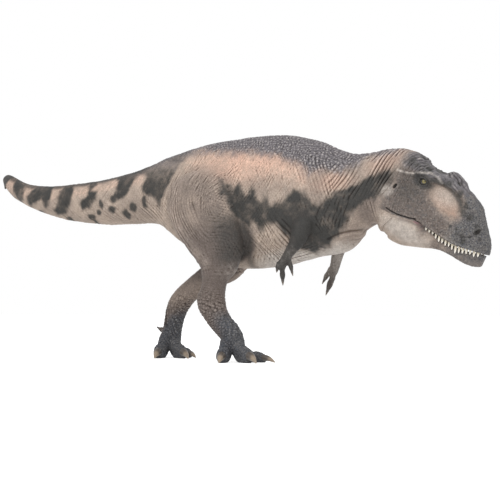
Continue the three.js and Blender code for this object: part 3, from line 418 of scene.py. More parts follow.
def loft(name, middles, sizes, frame_of, around=72, between=5, powers=(2, 2), grow=0.0):
    """A closed skin through sections: half width, reach above and reach below."""
    middles = smooth_rows(middles, between)
    sizes = smooth_rows(sizes, between) + grow
    headings = np.gradient(middles, axis=0)
    middles[0] -= grow * unit(headings[0])
    middles[-1] += grow * unit(headings[-1])
    angle = np.linspace(0, 2 * math.pi, around, endpoint=False)
    side, rise = np.cos(angle), np.sin(angle)
    power = 2 / np.where(rise > 0, powers[0], powers[1])
    outward = np.sign(side) * np.abs(side) ** power
    upward = np.sign(rise) * np.abs(rise) ** power
    points = []
    for middle, size, heading in zip(middles, sizes, headings):
        across, up = frame_of(heading)
        lift = np.where(rise > 0, size[1], size[2]) * upward
        points.append(middle + np.outer(size[0] * outward, across) + np.outer(lift, up))
    rings = len(middles)
    faces = [
        (i * around + k, i * around + (k + 1) % around,
         (i + 1) * around + (k + 1) % around, (i + 1) * around + k)
        for i in range(rings - 1) for k in range(around)
    ]
    faces.append(tuple(reversed(range(around))))
    faces.append(tuple((rings - 1) * around + k for k in range(around)))
    piece = new_piece(name, np.vstack(points), faces)
    turn_out(piece)
    return piece


def turn_out(piece):
    """Turns all faces outwards."""
    shape = bmesh.new()
    shape.from_mesh(piece.data)
    bmesh.ops.recalc_face_normals(shape, faces=shape.faces)
    shape.to_mesh(piece.data)
    shape.free()


def joined(name, pieces):
    bpy.ops.object.select_all(action="DESELECT")
    for piece in pieces:
        piece.select_set(True)
    bpy.context.view_layer.objects.active = pieces[0]
    bpy.ops.object.join()
    whole = bpy.context.view_layer.objects.active
    whole.name = whole.data.name = name
    return whole


def apply(piece, kind, **settings):
    """Adds a modifier with its settings and applies it."""
    modifier = piece.modifiers.new(kind.lower(), kind)
    for key, value in settings.items():
        setattr(modifier, key, value)
    bpy.context.view_layer.objects.active = piece
    bpy.ops.object.modifier_apply(modifier=modifier.name)
    return piece


def remeshed(piece, voxel):
    return apply(piece, "REMESH", mode="VOXEL", voxel_size=voxel)


def copied(piece, name):
    twin = piece.copy()
    twin.data = piece.data.copy()
    twin.name = twin.data.name = name
    bpy.context.collection.objects.link(twin)
    return twin


def remove(*pieces):
    for piece in pieces:
        bpy.data.objects.remove(piece)


def cut(piece, operation, *others):
    """Cuts a piece with, or by, each of the others in turn."""
    for other in others:
        apply(piece, "BOOLEAN", operation=operation, solver="MANIFOLD", object=other)
    return piece


def block(low, high):
    """A box between two corners, for cutting."""
    middle = (np.array(low) + np.array(high)) / 2
    bpy.ops.mesh.primitive_cube_add(size=1, location=middle)
    cutter = bpy.context.object
    cutter.scale = np.array(high) - np.array(low)
    bpy.ops.object.transform_apply(location=True, rotation=True, scale=True)
    return cutter


def points_of(piece):
    values = np.empty(len(piece.data.vertices) * 3, np.float32)
    piece.data.vertices.foreach_get("co", values)
    return values.reshape(-1, 3).astype(float)


def normals_of(piece):
    values = np.empty(len(piece.data.vertices) * 3, np.float32)
    piece.data.vertices.foreach_get("normal", values)
    return values.reshape(-1, 3).astype(float)


def set_points(piece, points):
    piece.data.vertices.foreach_set("co", points.astype(np.float32).ravel())
    piece.data.update()


def edges_of(piece):
    values = np.empty(len(piece.data.edges) * 2, np.int32)
    piece.data.edges.foreach_get("vertices", values)
    return values.reshape(-1, 2)


def averaged(values, edges):
    """Mean of each vertex's neighbours."""
    count = len(values)
    ends = np.concatenate([edges[:, 0], edges[:, 1]])
    others = np.concatenate([edges[:, 1], edges[:, 0]])
    near = np.maximum(np.bincount(ends, minlength=count), 1)
    if values.ndim == 1:
        return np.bincount(ends, values[others], minlength=count) / near
    return np.stack(
        [np.bincount(ends, values[others, axis], minlength=count) / near for axis in range(3)], axis=1
    )


def relax(piece, rounds, weight=0.5):
    """Moves each point towards the middle of its neighbours."""
    points, edges = points_of(piece), edges_of(piece)
    weight = np.broadcast_to(weight, len(points))[:, None]
    for _ in range(rounds):
        points += weight * (averaged(points, edges) - points)
    set_points(piece, points)


def soften_creases(piece, rounds, spread):
    """Melts the hollow where two masses meet, and leaves the rest as it is."""
    points, edges = points_of(piece), edges_of(piece)
    inward = np.sum((averaged(points, edges) - points) * normals_of(piece), axis=1)
    crease = ramp(inward, 0.01, 0.05)
    for _ in range(spread):
        crease = np.maximum(crease, averaged(crease, edges))
    for _ in range(spread):
        crease = averaged(crease, edges)
    relax(piece, rounds, 0.6 * np.clip(1.4 * crease, 0, 1))


def store(piece, name, values):
    """Keeps one value for each point, which the shaders read by its name."""
    mark = piece.data.attributes.get(name) or piece.data.attributes.new(name, "FLOAT", "POINT")
    mark.data.foreach_set("value", values.astype(np.float32))


def stored(piece, name):
    values = np.empty(len(piece.data.vertices), np.float32)
    piece.data.attributes[name].data.foreach_get("value", values)
    return values.astype(float)


def emboss(piece, relief):
    """Raises the surface by relief(points, normals) and keeps that height for the paint."""
    points, normals = points_of(piece), normals_of(piece)
    height = relief(points, normals)
    set_points(piece, points + height[:, None] * normals)
    edges = edges_of(piece)
    broad = height
    for _ in range(relief_rounds):
        broad = averaged(broad, edges)
    store(piece, "relief", height - broad)
    store(piece, "sculpted", np.ones(len(points)))


def heal_relief(piece):
    """A cut's new vertices take the relief of their neighbours."""
    relief, known = stored(piece, "relief"), stored(piece, "sculpted") > 0.999
    edges = edges_of(piece)
    for _ in range(heal_rounds):
        relief = np.where(known, relief, averaged(relief, edges))
    store(piece, "relief", relief)


# Skins. They are lofted, fused by a voxel remesh and embossed by formula, because the folds
# and scales run on across every seam, and the seams are then cut where the mouldings part.
def body_skin(grow=0.0):
    """The trunk and the tail in one."""
    rows = []
    for along, aside, top, bottom, width in tail_shares:
        rows.append((tail_seam_x - along * tail_length, aside * tail_length,
                     top, bottom, width, tail_belt_share))
    for along, top, bottom, width in trunk_shares:
        rows.append((tail_seam_x + along * trunk_length, 0, top, bottom, width, belt_share))
    middles, sizes = [], []
    for x, y, top, bottom, width, belt in rows:
        height = (top - bottom) * back_height
        middles.append((x, y, bottom * back_height + belt * height))
        sizes.append((width * trunk_width / 2, (1 - belt) * height, belt * height))
    return loft("body", middles, sizes, standing, around=120, powers=(1.8, 2.1), grow=grow)


def head_core():
    middles, sizes = [], []
    for along, top, bottom, width in head_shares:
        belt = min(head_belt_share, (top + bottom) / 2)
        middles.append(in_head(along, 0, belt))
        sizes.append((width * skull_width / 2, (top - belt) * skull_length,
                      (belt - bottom) * skull_length))
    return loft("skull", middles, sizes, across_head, around=120, powers=(skull_power, chin_power))


def head_ridge(side):
    middles = [
        in_head(along, side * aside * skull_length, up - max(0, -side) * drop)
        for along, up, aside, _, drop in ridge_shares
    ]
    sizes = [(row[3] * skull_length,) * 3 for row in ridge_shares]
    return loft("ridge", middles, sizes, square_to, around=24)


def leg_skin(side, rows=slice(None), grow=0.0):
    middles = [(forth * hip_height, side_of[side] * out * hip_height, up * hip_height)
               for forth, out, up, *_ in leg_shares[side][rows]]
    sizes = [[share * hip_height for share in row[3:]] for row in leg_shares[side][rows]]
    return loft("leg", middles, sizes, hanging, around=64, grow=grow)


def heading_of(degrees):
    """The way ahead along the floor, turned from straight forward to the animal's right."""
    turn = math.radians(degrees)
    return np.array([math.cos(turn), -math.sin(turn), 0])


def toe_frame(side, heading, beside):
    """The root of a toe on the floor, and the way it points."""
    ahead = heading_of(heading)
    aside = np.array([ahead[1], -ahead[0], 0])
    along, out = leg_shares[side][knuckle_row][:2]
    root = np.array([along * hip_height, side_of[side] * out * hip_height, 0])
    return root + beside * toe_length * aside, ahead


def toe_loft(name, shares, root, ahead, start, length, around, high=1.0):
    middles, sizes = [], []
    for far, up, half, rise in shares:
        middles.append(root + (start + far * length) * ahead + high * up * toe_length * upright)
        sizes.append((half * toe_length, high * rise * toe_length, high * rise * toe_length))
    return loft(name, middles, sizes, standing, around=around)


def spur_root(side):
    along, out = leg_shares[side][knuckle_row - 1][:2]
    return np.array([along, side_of[side] * out, spur_height_share]) * hip_height


def in_arm(side, share):
    """A place in the arm's own shares, measured from the shoulder."""
    shoulder = np.array([
        tail_seam_x + shoulder_share[0] * trunk_length,
        side_of[side] * shoulder_share[1] * trunk_width / 2,
        shoulder_share[2] * back_height,
    ])
    return shoulder + np.array([share[0], side_of[side] * share[1], share[2]]) * arm_length


def arm_skins(side, grow=0.0):
    rows = arm_shares[side]
    arm = loft("arm", [in_arm(side, row[:3]) for row in rows],
               [[share * arm_length for share in row[3:]] for row in rows],
               hanging, around=40, grow=grow)
    return [arm] + [
        finger_skin(side, finger, finger_taper_shares, grow) for finger in finger_shares[side]
    ]


def finger_skin(side, finger, taper_shares, grow=0.0):
    root, tip = in_arm(side, finger[0]), in_arm(side, finger[1])
    middles = [root + along * (tip - root) for along, _ in taper_shares]
    sizes = [(taper * finger[2] * arm_length,) * 3 for _, taper in taper_shares]
    return loft("finger", middles, sizes, hanging, around=20, grow=grow)


def interpolated(shares, along, column):
    """A column of a table of shares, read between its rows."""
    rows = np.array(shares, float)
    return np.interp(along, rows[:, 0], rows[:, column])


def head_half_width(along, up):
    """Half width of the head below its widest point, in millimetres."""
    half = interpolated(head_shares, along, 3) * skull_width / 2
    rows = np.array(head_shares, float)
    belts = np.minimum(head_belt_share, (rows[:, 1] + rows[:, 2]) / 2)
    belt = np.interp(along, rows[:, 0], belts)
    drop = max(0.0, (belt - up) / (belt - interpolated(head_shares, along, 2)))
    return half * (1 - min(1.0, drop) ** chin_power) ** (1 / chin_power)


# Relief. Each field of wrinkles: middle and radii of the patch as x and z, its turn, the
# direction of the wrinkles in degrees, then their spacing, depth and length over spacing.
wrinkle_fields = [
    ((86, 107), (22, 14), 10, 60, 2.3, 0.95, 9),
    ((100, 113), (10, 13), -20, 50, 2.0, 0.8, 9),
    ((70, 90), (13, 10), 15, 62, 2.3, 0.55, 7),
    ((91, 86), (7, 12), 0, 99, 2.1, 0.5, 8),
    ((57, 97), (10, 24), 10, 110, 1.8, 0.6, 7),
    ((78, 73), (13, 9), 20, 30, 2.4, 0.4, 5),
    ((66, 84), (9, 8), 0, 75, 2.0, 0.45, 5),
    ((33, 71), (18, 12), 0, 124, 2.0, 0.8, 7),
    ((24, 66), (16, 12), 0, 60, 2.0, 0.35, 5),
    ((50, 62), (18, 7), 8, 12, 2.1, 0.6, 5),
    ((18, 102), (32, 20), 0, 58, 1.7, 0.38, 4),
    ((22, 100), (32, 20), 0, 122, 1.6, 0.24, 3),
    ((38, 110), (22, 10), 0, 118, 1.6, 0.3, 5),
    ((-52, 84), (20, 12), 0, 128, 2.0, 0.6, 7),
    ((-50, 104), (18, 14), 0, 70, 1.8, 0.35, 5),
    ((-100, 90), (44, 10), -3, 136, 1.8, 0.45, 6),
    ((-100, 106), (50, 9), -3, 62, 1.7, 0.28, 4),
    ((-24, 106), (18, 13), 0, 66, 1.7, 0.4, 5),
    ((20, 126), (66, 12), 0, 122, 1.6, 0.3, 3),
    ((20, 126), (66, 12), 0, 60, 1.7, 0.3, 3),
    ((2, 82), (9, 22), 8, -12, 1.8, 0.3, 4),
    ((-8, 56), (11, 10), 0, 4, 1.9, 0.35, 6),
    ((-4, 108), (14, 10), 0, 40, 1.6, 0.35, 4),
    ((82, 122), (24, 8), -8, 40, 1.8, 0.55, 4),
]
chest_fold = [(62, 71), (68.5, 73.8), (74.5, 75.5), (81.2, 76.7), (86, 78)]
thigh_arc_middle = (9.0, 97.0)
thigh_arc_radius = 30.0
thigh_arc_field = ((-24, 86), (20, 28), 12)
# Lumps of the skin: height, size and seed.
skin_lumps = [(0.26, 11, 1), (0.14, 4.5, 2), (0.06, 2, 3), (0.05, 1.4, 9)]
# Below the throat: middle, radii, turn and softness.
throat_pouch = ((82, 70), (9, 6), 15, 0.6)
throat_hollow = ((89, 78), (6, 4), 20, 0.6)
# Folds of each leg: heights where they come and go, the part of the leg that they keep to and
# their depth, then how much x and z count across them and along them, spacing, length and seed.
leg_folds = [
    ((25, 29, 40, 52), "all round", 0.28, (0.15, 1.0), (1.0, 0.0), 1.8, 5, 61),
    ((46, 54, 66, 80), "outside", 0.25, (1.0, 0.25), (0.0, 1.0), 1.9, 4, 63),
    ((12, 16, 28, 32), "all round", 0.3, (-0.5, 1.0), (1.0, 0.0), 1.6, 4, 62),
    ((8, 13, 32, 38), "front", 0.5, (0.9, 0.45), (-0.5, 1.0), 1.7, 7, 64),
]
scale_size = {"shin": 1.9, "back": 1.7, "head": 1.5, "toe": 1.7}


def wrinkles(across, along, aside, spacing, length, seed):
    """Rounded folds with sharp creases, bent and broken up along their run."""
    places = np.stack([across, along / length, 0.4 * aside], axis=1) / spacing
    bend = 1.3 * noise(places * (0.28, 0.7, 0.5), 1, seed + 100) + 0.4 * noise(places, 1, seed)
    strength = 0.35 + 0.65 * ramp(noise(places * (0.6, 1.0, 1.0), 1, seed + 200), -0.45, 0.35)
    return strength * (np.abs(np.sin(math.pi * (places[:, 0] + bend))) ** 0.7 - 0.66)


def leg_share_of(points, side):
    """How far inside each leg's outline the points lie: 0 on its middle, 1 at its skin."""
    rows = np.array(leg_shares[side])[::-1] * hip_height
    z = points[:, 2]
    x, y, thick, front = (np.interp(z, rows[:, 2], rows[:, k]) for k in (0, 1, 3, 4))
    beside = points * (1, side_of[side], 1)
    away = np.hypot((points[:, 0] - x) / front, (beside[:, 1] - y) / thick)
    for row in rows[rows[:, 2] < 0.65 * hip_height]:
        ball = np.linalg.norm((beside - row[:3]) / (row[4], row[3], row[4]), axis=1)
        away = np.minimum(away, ball)
    return np.where(side_of[side] * points[:, 1] > 0, away, 9.0)


def leg_front(points, side):
    """How far the points lie to the front of the leg's middle, 1 at its front edge."""
    rows = np.array(leg_shares[side])[::-1] * hip_height
    x, front = (np.interp(points[:, 2], rows[:, 2], rows[:, k]) for k in (0, 4))
    return (points[:, 0] - x) / front


def on_arm(points, side):
    """1 on the skin of an arm, fading out where it runs into the trunk."""
    path = [in_arm(side, row[:3]) for row in arm_shares[side]]
    path.append(in_arm(side, finger_shares[side][0][1]))
    beside = (side_of[side] * points[:, 1] > 6) | (points[:, 2] < 62)
    return beside * (1 - ramp(distance_to_line(points, path), 5.5, 8.0))


def body_relief(points, normals):
    """Height of the folds and scales of the trunk, tail, legs and arms, in millimetres."""
    x, y, z = points.T
    flat = points[:, [0, 2]]
    height = sum(rise * noise(points, size, seed) for rise, size, seed in skin_lumps)
    height += 1.1 * oval(flat, *throat_pouch) * ramp(x, 70, 80)
    height -= 1.2 * oval(flat, *throat_hollow)
    height -= 0.6 * band(distance_to_line(flat, chest_fold), 0.9)
    break_up = 0.5 + 0.5 * ramp(noise(points, 7, 4), -0.5, 0.4)
    for i, (middle, radii, turn, heading, spacing, depth, length) in enumerate(wrinkle_fields):
        angle = math.radians(heading)
        mask = oval(flat, middle, radii, turn, 0.45)
        near = mask > 0
        across = z[near] * math.cos(angle) - x[near] * math.sin(angle)
        along = x[near] * math.cos(angle) + z[near] * math.sin(angle)
        shape = wrinkles(across, along, y[near], spacing, length, 10 + i)
        height[near] += depth * mask[near] * break_up[near] * shape
    reach_out = np.hypot(*(flat - np.array(thigh_arc_middle)).T)
    swing = np.arctan2(z - thigh_arc_middle[1], x - thigh_arc_middle[0]) * thigh_arc_radius
    mask = oval(flat, *thigh_arc_field, soft=0.4)
    height += 0.55 * mask * break_up * wrinkles(reach_out, swing, y, 2.0, 8, 60)
    for side in arm_shares:
        height = height * (1 - 0.7 * on_arm(points, side))
    for side in leg_shares:
        add_leg_folds(height, points, side)
    low = z < 46
    height[low] += 0.3 * (1 - ramp(z[low], 36, 46)) * scales(points[low], scale_size["shin"], 84)
    edge = np.interp(x, *np.array(saddle_edge).T)
    top = z > edge - 4
    back = scales(points[top], scale_size["back"], 85)
    height[top] += 0.3 * ramp(z[top] - edge[top], -4, 4) * back
    return height * tail_fade(points)


def add_leg_folds(height, points, side):
    x, y, z = points.T
    leg = 1 - ramp(leg_share_of(points, side), 1.15, 1.5)
    part = {
        "all round": 1.0,
        "outside": ramp(side_of[side] * y, 4, 12),
        "front": ramp(leg_front(points, side), -0.1, 0.5),
    }
    for heights, where, depth, across, along, spacing, length, seed in leg_folds:
        low, risen, falling, high = heights
        mask = leg * ramp(z, low, risen) * (1 - ramp(z, falling, high)) * part[where]
        height += depth * mask * wrinkles(
            x * across[0] + z * across[1], x * along[0] + z * along[1], y, spacing, length, seed)


def tail_fade(points):
    """The tail's thin end keeps only a shallow relief."""
    return 0.3 + 0.7 * ramp(points[:, 0], -195, -150)


def scales(points, size, seed):
    """Flat scales with grooves between them: 0 in a groove and 1 on a scale."""
    places = points / size + 50.0
    cells = np.floor(places).astype(np.int64)
    nearest = np.full(len(points), 9.0)
    second = np.full(len(points), 9.0)
    for step in itertools.product((-1, 0, 1), repeat=3):
        whole = cells + step
        apart = np.zeros(len(points))
        for axis in range(3):
            jitter = noise(whole + 0.37 * (axis + 1), 0.731, seed + axis)
            apart += (whole[:, axis] + 0.5 + 0.6 * jitter - places[:, axis]) ** 2
        apart = np.sqrt(apart)
        second = np.minimum(second, np.maximum(apart, nearest))
        nearest = np.minimum(nearest, apart)
    return ramp(second - nearest, 0.02, 0.3)


# The head's lines and patches, along and up from the nape in shares of the skull.
mouth_crease = [(0.15, -0.112), (0.182, -0.118), (0.254, -0.120), (0.353, -0.104), (0.4, -0.09)]
hollow_middle = (0.54, 0.145)
hollow_radii = (0.165, 0.1)
hollow_turn = -24.0
upper_rim = [(0.38, 0.235), (0.47, 0.25), (0.56, 0.225), (0.65, 0.175), (0.72, 0.11)]
nostril_share = (0.875, 0.03)
brow_line = [(0.1, 0.19), (0.2, 0.205), (0.27, 0.245), (0.35, 0.28), (0.42, 0.272), (0.47, 0.25)]
crest_peaks = [(0.2, 0.4), (0.3, 0.3), (0.44, 0.3), (0.56, 0.4), (0.68, 0.3)]
# Patches: middle, radii, turn and softness.
head_patches = {
    "nostril": (nostril_share, (0.024, 0.013), 70, 0.6),
    "nostril rim": (nostril_share, (0.045, 0.032), 70, 0.5),
    "nostril shade": (nostril_share, (0.04, 0.024), 70, 0.7),
    "ear": ((0.142, 0.07), (0.021, 0.011), 76, 0.4),
    "ear surround": ((0.1, 0.01), (0.06, 0.045), 20, 0.6),
    "cheek": ((0.16, 0.0), (0.1, 0.09), 0, 0.6),
    "shaded cheek": ((0.24, 0.1), (0.14, 0.12), 0, 0.8),
    "rusty cheek": ((0.44, 0.06), (0.1, 0.08), 0, 0.8),
    "shaded eye socket": ((0.32, 0.2), (0.095, 0.062), -8, 0.5),
    "rusty hollow": ((0.6, 0.09), (0.12, 0.05), hollow_turn, 0.8),
    "pale hollow": ((0.53, 0.15), (0.1, 0.07), hollow_turn, 0.7),
    "pale chin": ((0.35, -0.22), (0.24, 0.08), 0, 0.6),
    "mouth corner": ((0.425, -0.112), (0.034, 0.009), 0, 0.6),
}
# Folds of the crest, over the snout and at the rear: the ways across them and along them.
crest_fold_ways = ((0.35, 0.94), (0.94, -0.35))
rear_fold_ways = ((0.95, -0.31), (0.31, 0.95))
eyelid_radius = 2.5
lid_fold_radii = (4.2, 5.6)


def head_flat(points):
    away = points - nape
    return np.stack([away @ head_along, away @ head_up], axis=1) / skull_length


def head_folds(flat, points, ways, spacing, length, seed):
    across, along = (flat @ np.array(way) * skull_length for way in ways)
    return wrinkles(across, along, points[:, 1], spacing, length, seed)


def head_relief(points, normals):
    """Height of the head's crests, folds and scales, running on from the neck's."""
    height = body_relief(points, normals)
    flat = head_flat(points)
    along, up = flat[:, 0], flat[:, 1]
    beside = np.abs(points[:, 1])
    patch = {name: oval(flat, *place) for name, place in head_patches.items()}
    face = ramp(along, 0.05, 0.16)
    height = height * (1 - face)
    outside = ramp(beside, 3.0, 5.0)
    hollow = oval(flat, hollow_middle, hollow_radii, hollow_turn, 0.3)
    below = np.interp(along, *np.array(lip_shares).T[:2]) - up
    smooth_jaw = ramp(below, 0.0, 0.03) * (1 - ramp(along, 0.5, 0.7))
    plain = np.maximum(0.75 * hollow, 0.7 * smooth_jaw)
    height += face * (0.22 * noise(points, 7, 52) + 0.14 * noise(points, 3.2, 50))
    # Scales all over, folds and lumps on the crests.
    crest = ramp(up, 0.19, 0.27) * face
    snout = ramp(along, 0.5, 0.7)
    scaly = face * (1 - plain) * (1 - 0.8 * crest) * (0.18 + 0.1 * snout)
    height += scaly * scales(points, scale_size["head"], 51)
    height += face * (1 - plain) * 0.14 * noise(points, 1.3, 55)
    height += crest * 0.5 * noise(points, 3.2, 53)
    rear = 1 - ramp(along, 0.26, 0.4)
    folded = crest * (1 - 0.5 * snout) * (1 - rear)
    height += folded * 0.5 * head_folds(flat, points, crest_fold_ways, 1.8, 3, 54)
    height += crest * rear * 0.6 * head_folds(flat, points, rear_fold_ways, 1.9, 4, 57)
    brow = band(distance_to_line(flat, brow_line), 0.013)
    height += outside * face * 0.65 * brow * (0.9 + 0.3 * noise(points, 2.8, 58))
    cheek_lines = face * (1 - plain) * (1 - crest) * (1 - snout)
    height += cheek_lines * 0.2 * head_folds(flat, points, ((1, 0), (0, 1)), 1.6, 4, 56)
    for peak, rise in crest_peaks:
        height += rise * crest * band(along - peak, 0.035) * ramp(beside, 1, 4)
    # The hollow before the eye, with a rim over it.
    height -= outside * 1.2 * hollow
    height += outside * 0.55 * band(distance_to_line(flat, upper_rim), 0.02)
    # The eye sinks in between its lids, with folds under it.
    eye_away = np.linalg.norm((flat - np.array(eye_share)) * (1, 1.15), axis=1) * skull_length
    height -= outside * 0.5 * (1 - ramp(eye_away, 2.0, 4.2))
    lid = ramp(np.abs(up - eye_share[1]), 0.0, 0.02)
    height += outside * (0.4 + 0.25 * lid) * band(eye_away - eyelid_radius, 0.6)
    under_eye = ramp(eye_share[1] - up, 0, 0.04)
    for radius in lid_fold_radii:
        height += outside * 0.22 * under_eye * band(eye_away - radius, 0.4)
    # Ear, nostril, corner of the mouth, cheek and lip.
    height -= outside * 1.2 * patch["ear"]
    height -= outside * 0.9 * patch["nostril"]
    height += outside * 0.3 * (patch["nostril rim"] - patch["nostril"])
    height -= outside * 0.7 * band(distance_to_line(flat, mouth_crease) * skull_length, 0.35)
    height += outside * 0.5 * patch["cheek"]
    lip = band(-below * skull_length - 0.9, 0.6) * ramp(along, 0.42, 0.5)
    height += outside * 0.3 * lip
    return height


# Paint. Outlines are x and z on the flank.
saddle_edge = [
    (-215, 132), (-190, 129), (-150, 118), (-110, 111), (-70, 116), (-45, 122), (-27, 126.2),
    (-6, 124.3), (19, 122.9), (36, 118.5), (45, 114.5), (52, 108.5), (57, 110), (68.8, 108.8),
    (76, 112.8), (83.4, 116.7), (101.7, 119.9), (112, 122), (140, 130),
]
flank_band = [
    (-5, 108), (0.6, 103.8), (5, 101), (8, 104.5), (10.5, 99.5), (14.3, 98), (17, 103), (19.5, 96.5),
    (23.9, 94), (26, 97.5), (29, 92.5), (35, 92.5), (39, 95), (44, 99.5), (50, 97.5), (56, 92),
    (59.4, 91), (68, 97.7), (79.7, 103), (87.6, 106.5), (96, 109), (108, 110), (116, 100),
    (104, 95), (95, 94), (87, 92.5), (82, 90), (77, 85), (72.5, 79), (69.5, 74),
    (61, 66.5), (50, 62), (40, 67), (37.7, 73.6), (33, 79), (28.8, 80), (25.5, 77), (22.8, 73.5),
    (20.5, 79), (18.5, 81), (16.5, 78), (14.7, 76), (11.5, 81), (8.5, 83.4), (4, 90), (-2, 98),
]
tail_marks = [
    [(-210, 124), (-177, 122), (-175.5, 117), (-179, 114), (-183, 109), (-210, 104)],
    [(-173, 128), (-162, 124), (-159, 112), (-160, 102), (-165, 98), (-170, 106), (-174, 117)],
    [(-153, 122), (-134, 118), (-136, 104), (-137, 96), (-140, 95), (-144, 101), (-149, 98), (-155, 97),
     (-156, 103), (-152, 109)],
    [(-132, 117), (-118, 117), (-119, 105), (-120, 96), (-124, 90), (-131, 90), (-134, 93), (-130, 98),
     (-129, 108)],
    [(-112, 116), (-95, 118), (-93, 112), (-100, 109), (-104, 105), (-98, 104), (-97, 98), (-103, 94),
     (-110, 93), (-112, 97), (-106, 102), (-108, 109), (-112, 110)],
    [(-91, 119), (-71, 121), (-67, 116), (-72, 110), (-74, 104), (-77, 99), (-84, 97), (-87, 99),
     (-83, 104), (-84, 109), (-91, 113)],
    [(-68, 124), (-34, 131), (-36, 121), (-42, 112), (-45, 104), (-48, 95), (-50, 93), (-53, 97),
     (-57, 100), (-63, 101), (-65, 106), (-62, 112), (-66, 116)],
]
# Dark spots: middle and radii.
tail_spots = [
    (-94.5, 96, 1.5, 3.0), (-97.5, 91, 2.0, 2.0), (-104, 88, 2.8, 2.0), (-103, 85, 1.5, 2.2),
    (-85, 98.6, 3.0, 2.6), (-86.5, 92.5, 3.3, 2.0), (-76.5, 89.5, 2.6, 3.3), (-71, 93.5, 2.6, 2.8),
    (-61.5, 96, 2.2, 4.0), (-123.7, 87.5, 3.0, 1.6), (-147, 93, 2.4, 1.2), (-172, 101, 3.0, 1.0),
    (-201, 121, 5.0, 3.0),
]
# Broad brown shading: middle, radii, turn and strength.
tan_fields = [
    ((-30, 88), (12, 24), 10, 0.55), ((-20, 104), (22, 12), 0, 0.6), ((60, 98), (9, 16), 10, 0.45),
    ((98, 110), (14, 13), 10, 0.5), ((88, 88), (11, 14), 0, 0.7), ((76, 74), (12, 8), 10, 0.5),
    ((22, 102), (22, 7), 0, 0.35), ((-68, 92), (14, 12), 0, 0.3), ((72, 106), (14, 8), 15, 0.4),
    ((-8, 90), (13, 16), 0, 0.65), ((94, 80), (9, 12), 0, 0.45),
]
hip_spots = [
    (-24, 101.6, 4.5, 5.0), (-17.5, 91, 5.0, 5.5), (-28, 92, 3.5, 4.0), (-10, 84, 5.0, 7.0),
    (-33, 103, 4.0, 3.5),
]
thigh_rim_highlight = [(-20, 115), (-30, 105), (-35, 90), (-26, 75), (-17, 66), (-8, 58)]
thigh_shadow = [(2, 101), (8, 95), (12, 84), (13.5, 74), (13, 65), (9, 56)]
# Pinkish cream: middle, radii, turn, softness and strength.
blush_fields = [
    ((14, 116), (42, 10), -7, 1.0, 0.9), ((66, 104), (12, 6), 10, 0.7, 0.8),
    ((98, 116), (14, 7), 20, 0.7, 0.6),
]
pale_belly = ((46, 58), (36, 9), 8, 0.6)
# Strengths that differ between the sides, with painted shade on the arms and thigh fronts.
arm_shade = {"right": 0.8, "left": 0.45}
leg_front_shade = {"right": 0.7, "left": 0.3}
leg_fade = {"right": 0.0, "left": 0.45}


def streaks(points, wide, high, seed):
    """Paint strokes that run up and down."""
    return noise(points * (1, 1, wide / high), wide, seed)


def lay(paints, name, share):
    """Sprays one paint on: where two sprays overlap, the heavier one counts."""
    paints[name] = np.maximum(paints.get(name, 0.0), share)


def paint_body(points, normals):
    """Shares of each paint on the trunk, tail, legs and arms."""
    x, y, z = points.T
    flat = points[:, [0, 2]]
    warped = flat + np.stack([noise(points, 6, 60), noise(points, 6, 61)], axis=1) * 1.0
    warped = warped + np.stack([noise(points, 2, 62), noise(points, 2, 63)], axis=1) * 0.5
    stroke = streaks(points, 1.6, 8, 68) + 0.3 * noise(points, 1.2, 69)
    paints = {}
    edge = np.interp(x, *np.array(saddle_edge).T)
    lay(paints, "slate", ramp(z - edge + 3.0 * rough_noise(points, 7, 64) + 1.3 * stroke, -7.0, 6.0))
    depth = depth_inside(warped, flank_band)
    banded = ramp(depth + 0.9 * stroke, -2.8, 3.2) * (0.92 + 0.3 * rough_noise(points, 5, 74))
    lay(paints, "soot", banded)
    spray_tail(paints, points, warped, stroke)
    # Painted shadow along the front edge of the thigh, where the belly runs in under it.
    lay(paints, "soot", 0.6 * band(distance_to_line(flat, thigh_shadow), 3.2))
    for middle, radii, turn, soft, strength in blush_fields:
        lay(paints, "blush", strength * oval(flat, middle, radii, turn, soft))
    lay(paints, "blush", 0.4 * ramp(z - tail_top(x), -13, -6) * (1 - ramp(x, -70, -55)))
    paints["blush"] *= 0.8 + 0.3 * noise(points, 9, 65)
    for side in leg_shares:
        spray_leg(paints, points, normals, side)
    for middle_x, middle_z, wide, high in hip_spots:
        spot = oval(warped, (middle_x, middle_z), (wide, high), 0, 0.9)
        lay(paints, "umber", 0.65 * spot)
        lay(paints, "soot", 0.1 * spot)
    # Painted highlight along the rear rim of the thigh, on the faces turned outwards: less brown, more
    # blush and pale.
    rim = band(distance_to_line(flat, thigh_rim_highlight), 4.5) * (0.8 + 0.4 * noise(points, 8, 79))
    rim *= normals[:, 1] * y > 0
    paints["umber"] *= 1 - 0.4 * rim
    lay(paints, "blush", 0.3 * rim)
    for middle, radii, turn, strength in tan_fields:
        lay(paints, "umber", strength * oval(flat, middle, radii, turn, 0.7))
    # The arms are brown, with painted shade over them, heavier on the right arm and darker towards the
    # hand.
    for side in arm_shares:
        arm = on_arm(points, side)
        hand = 1 - ramp(z, 55, 64)
        lay(paints, "umber", arm)
        lay(paints, "soot", arm * (arm_shade[side] + 0.1 * hand))
    belly = oval(flat, *pale_belly) * (1 - paints["soot"])
    paints["mosaic"] = np.maximum(0.8 * paints["slate"], paints["ashen"])
    # Pale is the belly's own paint, and the painted highlight on the thigh's rim.
    paints["pale"] = np.maximum(0.95 * belly, 0.25 * rim)
    return paints


def tail_top(x):
    """Height of the tail's upper edge over each x."""
    edge = [(tail_seam_x - row[0] * tail_length, row[2] * back_height) for row in tail_shares]
    return np.interp(x, *np.array(edge).T)


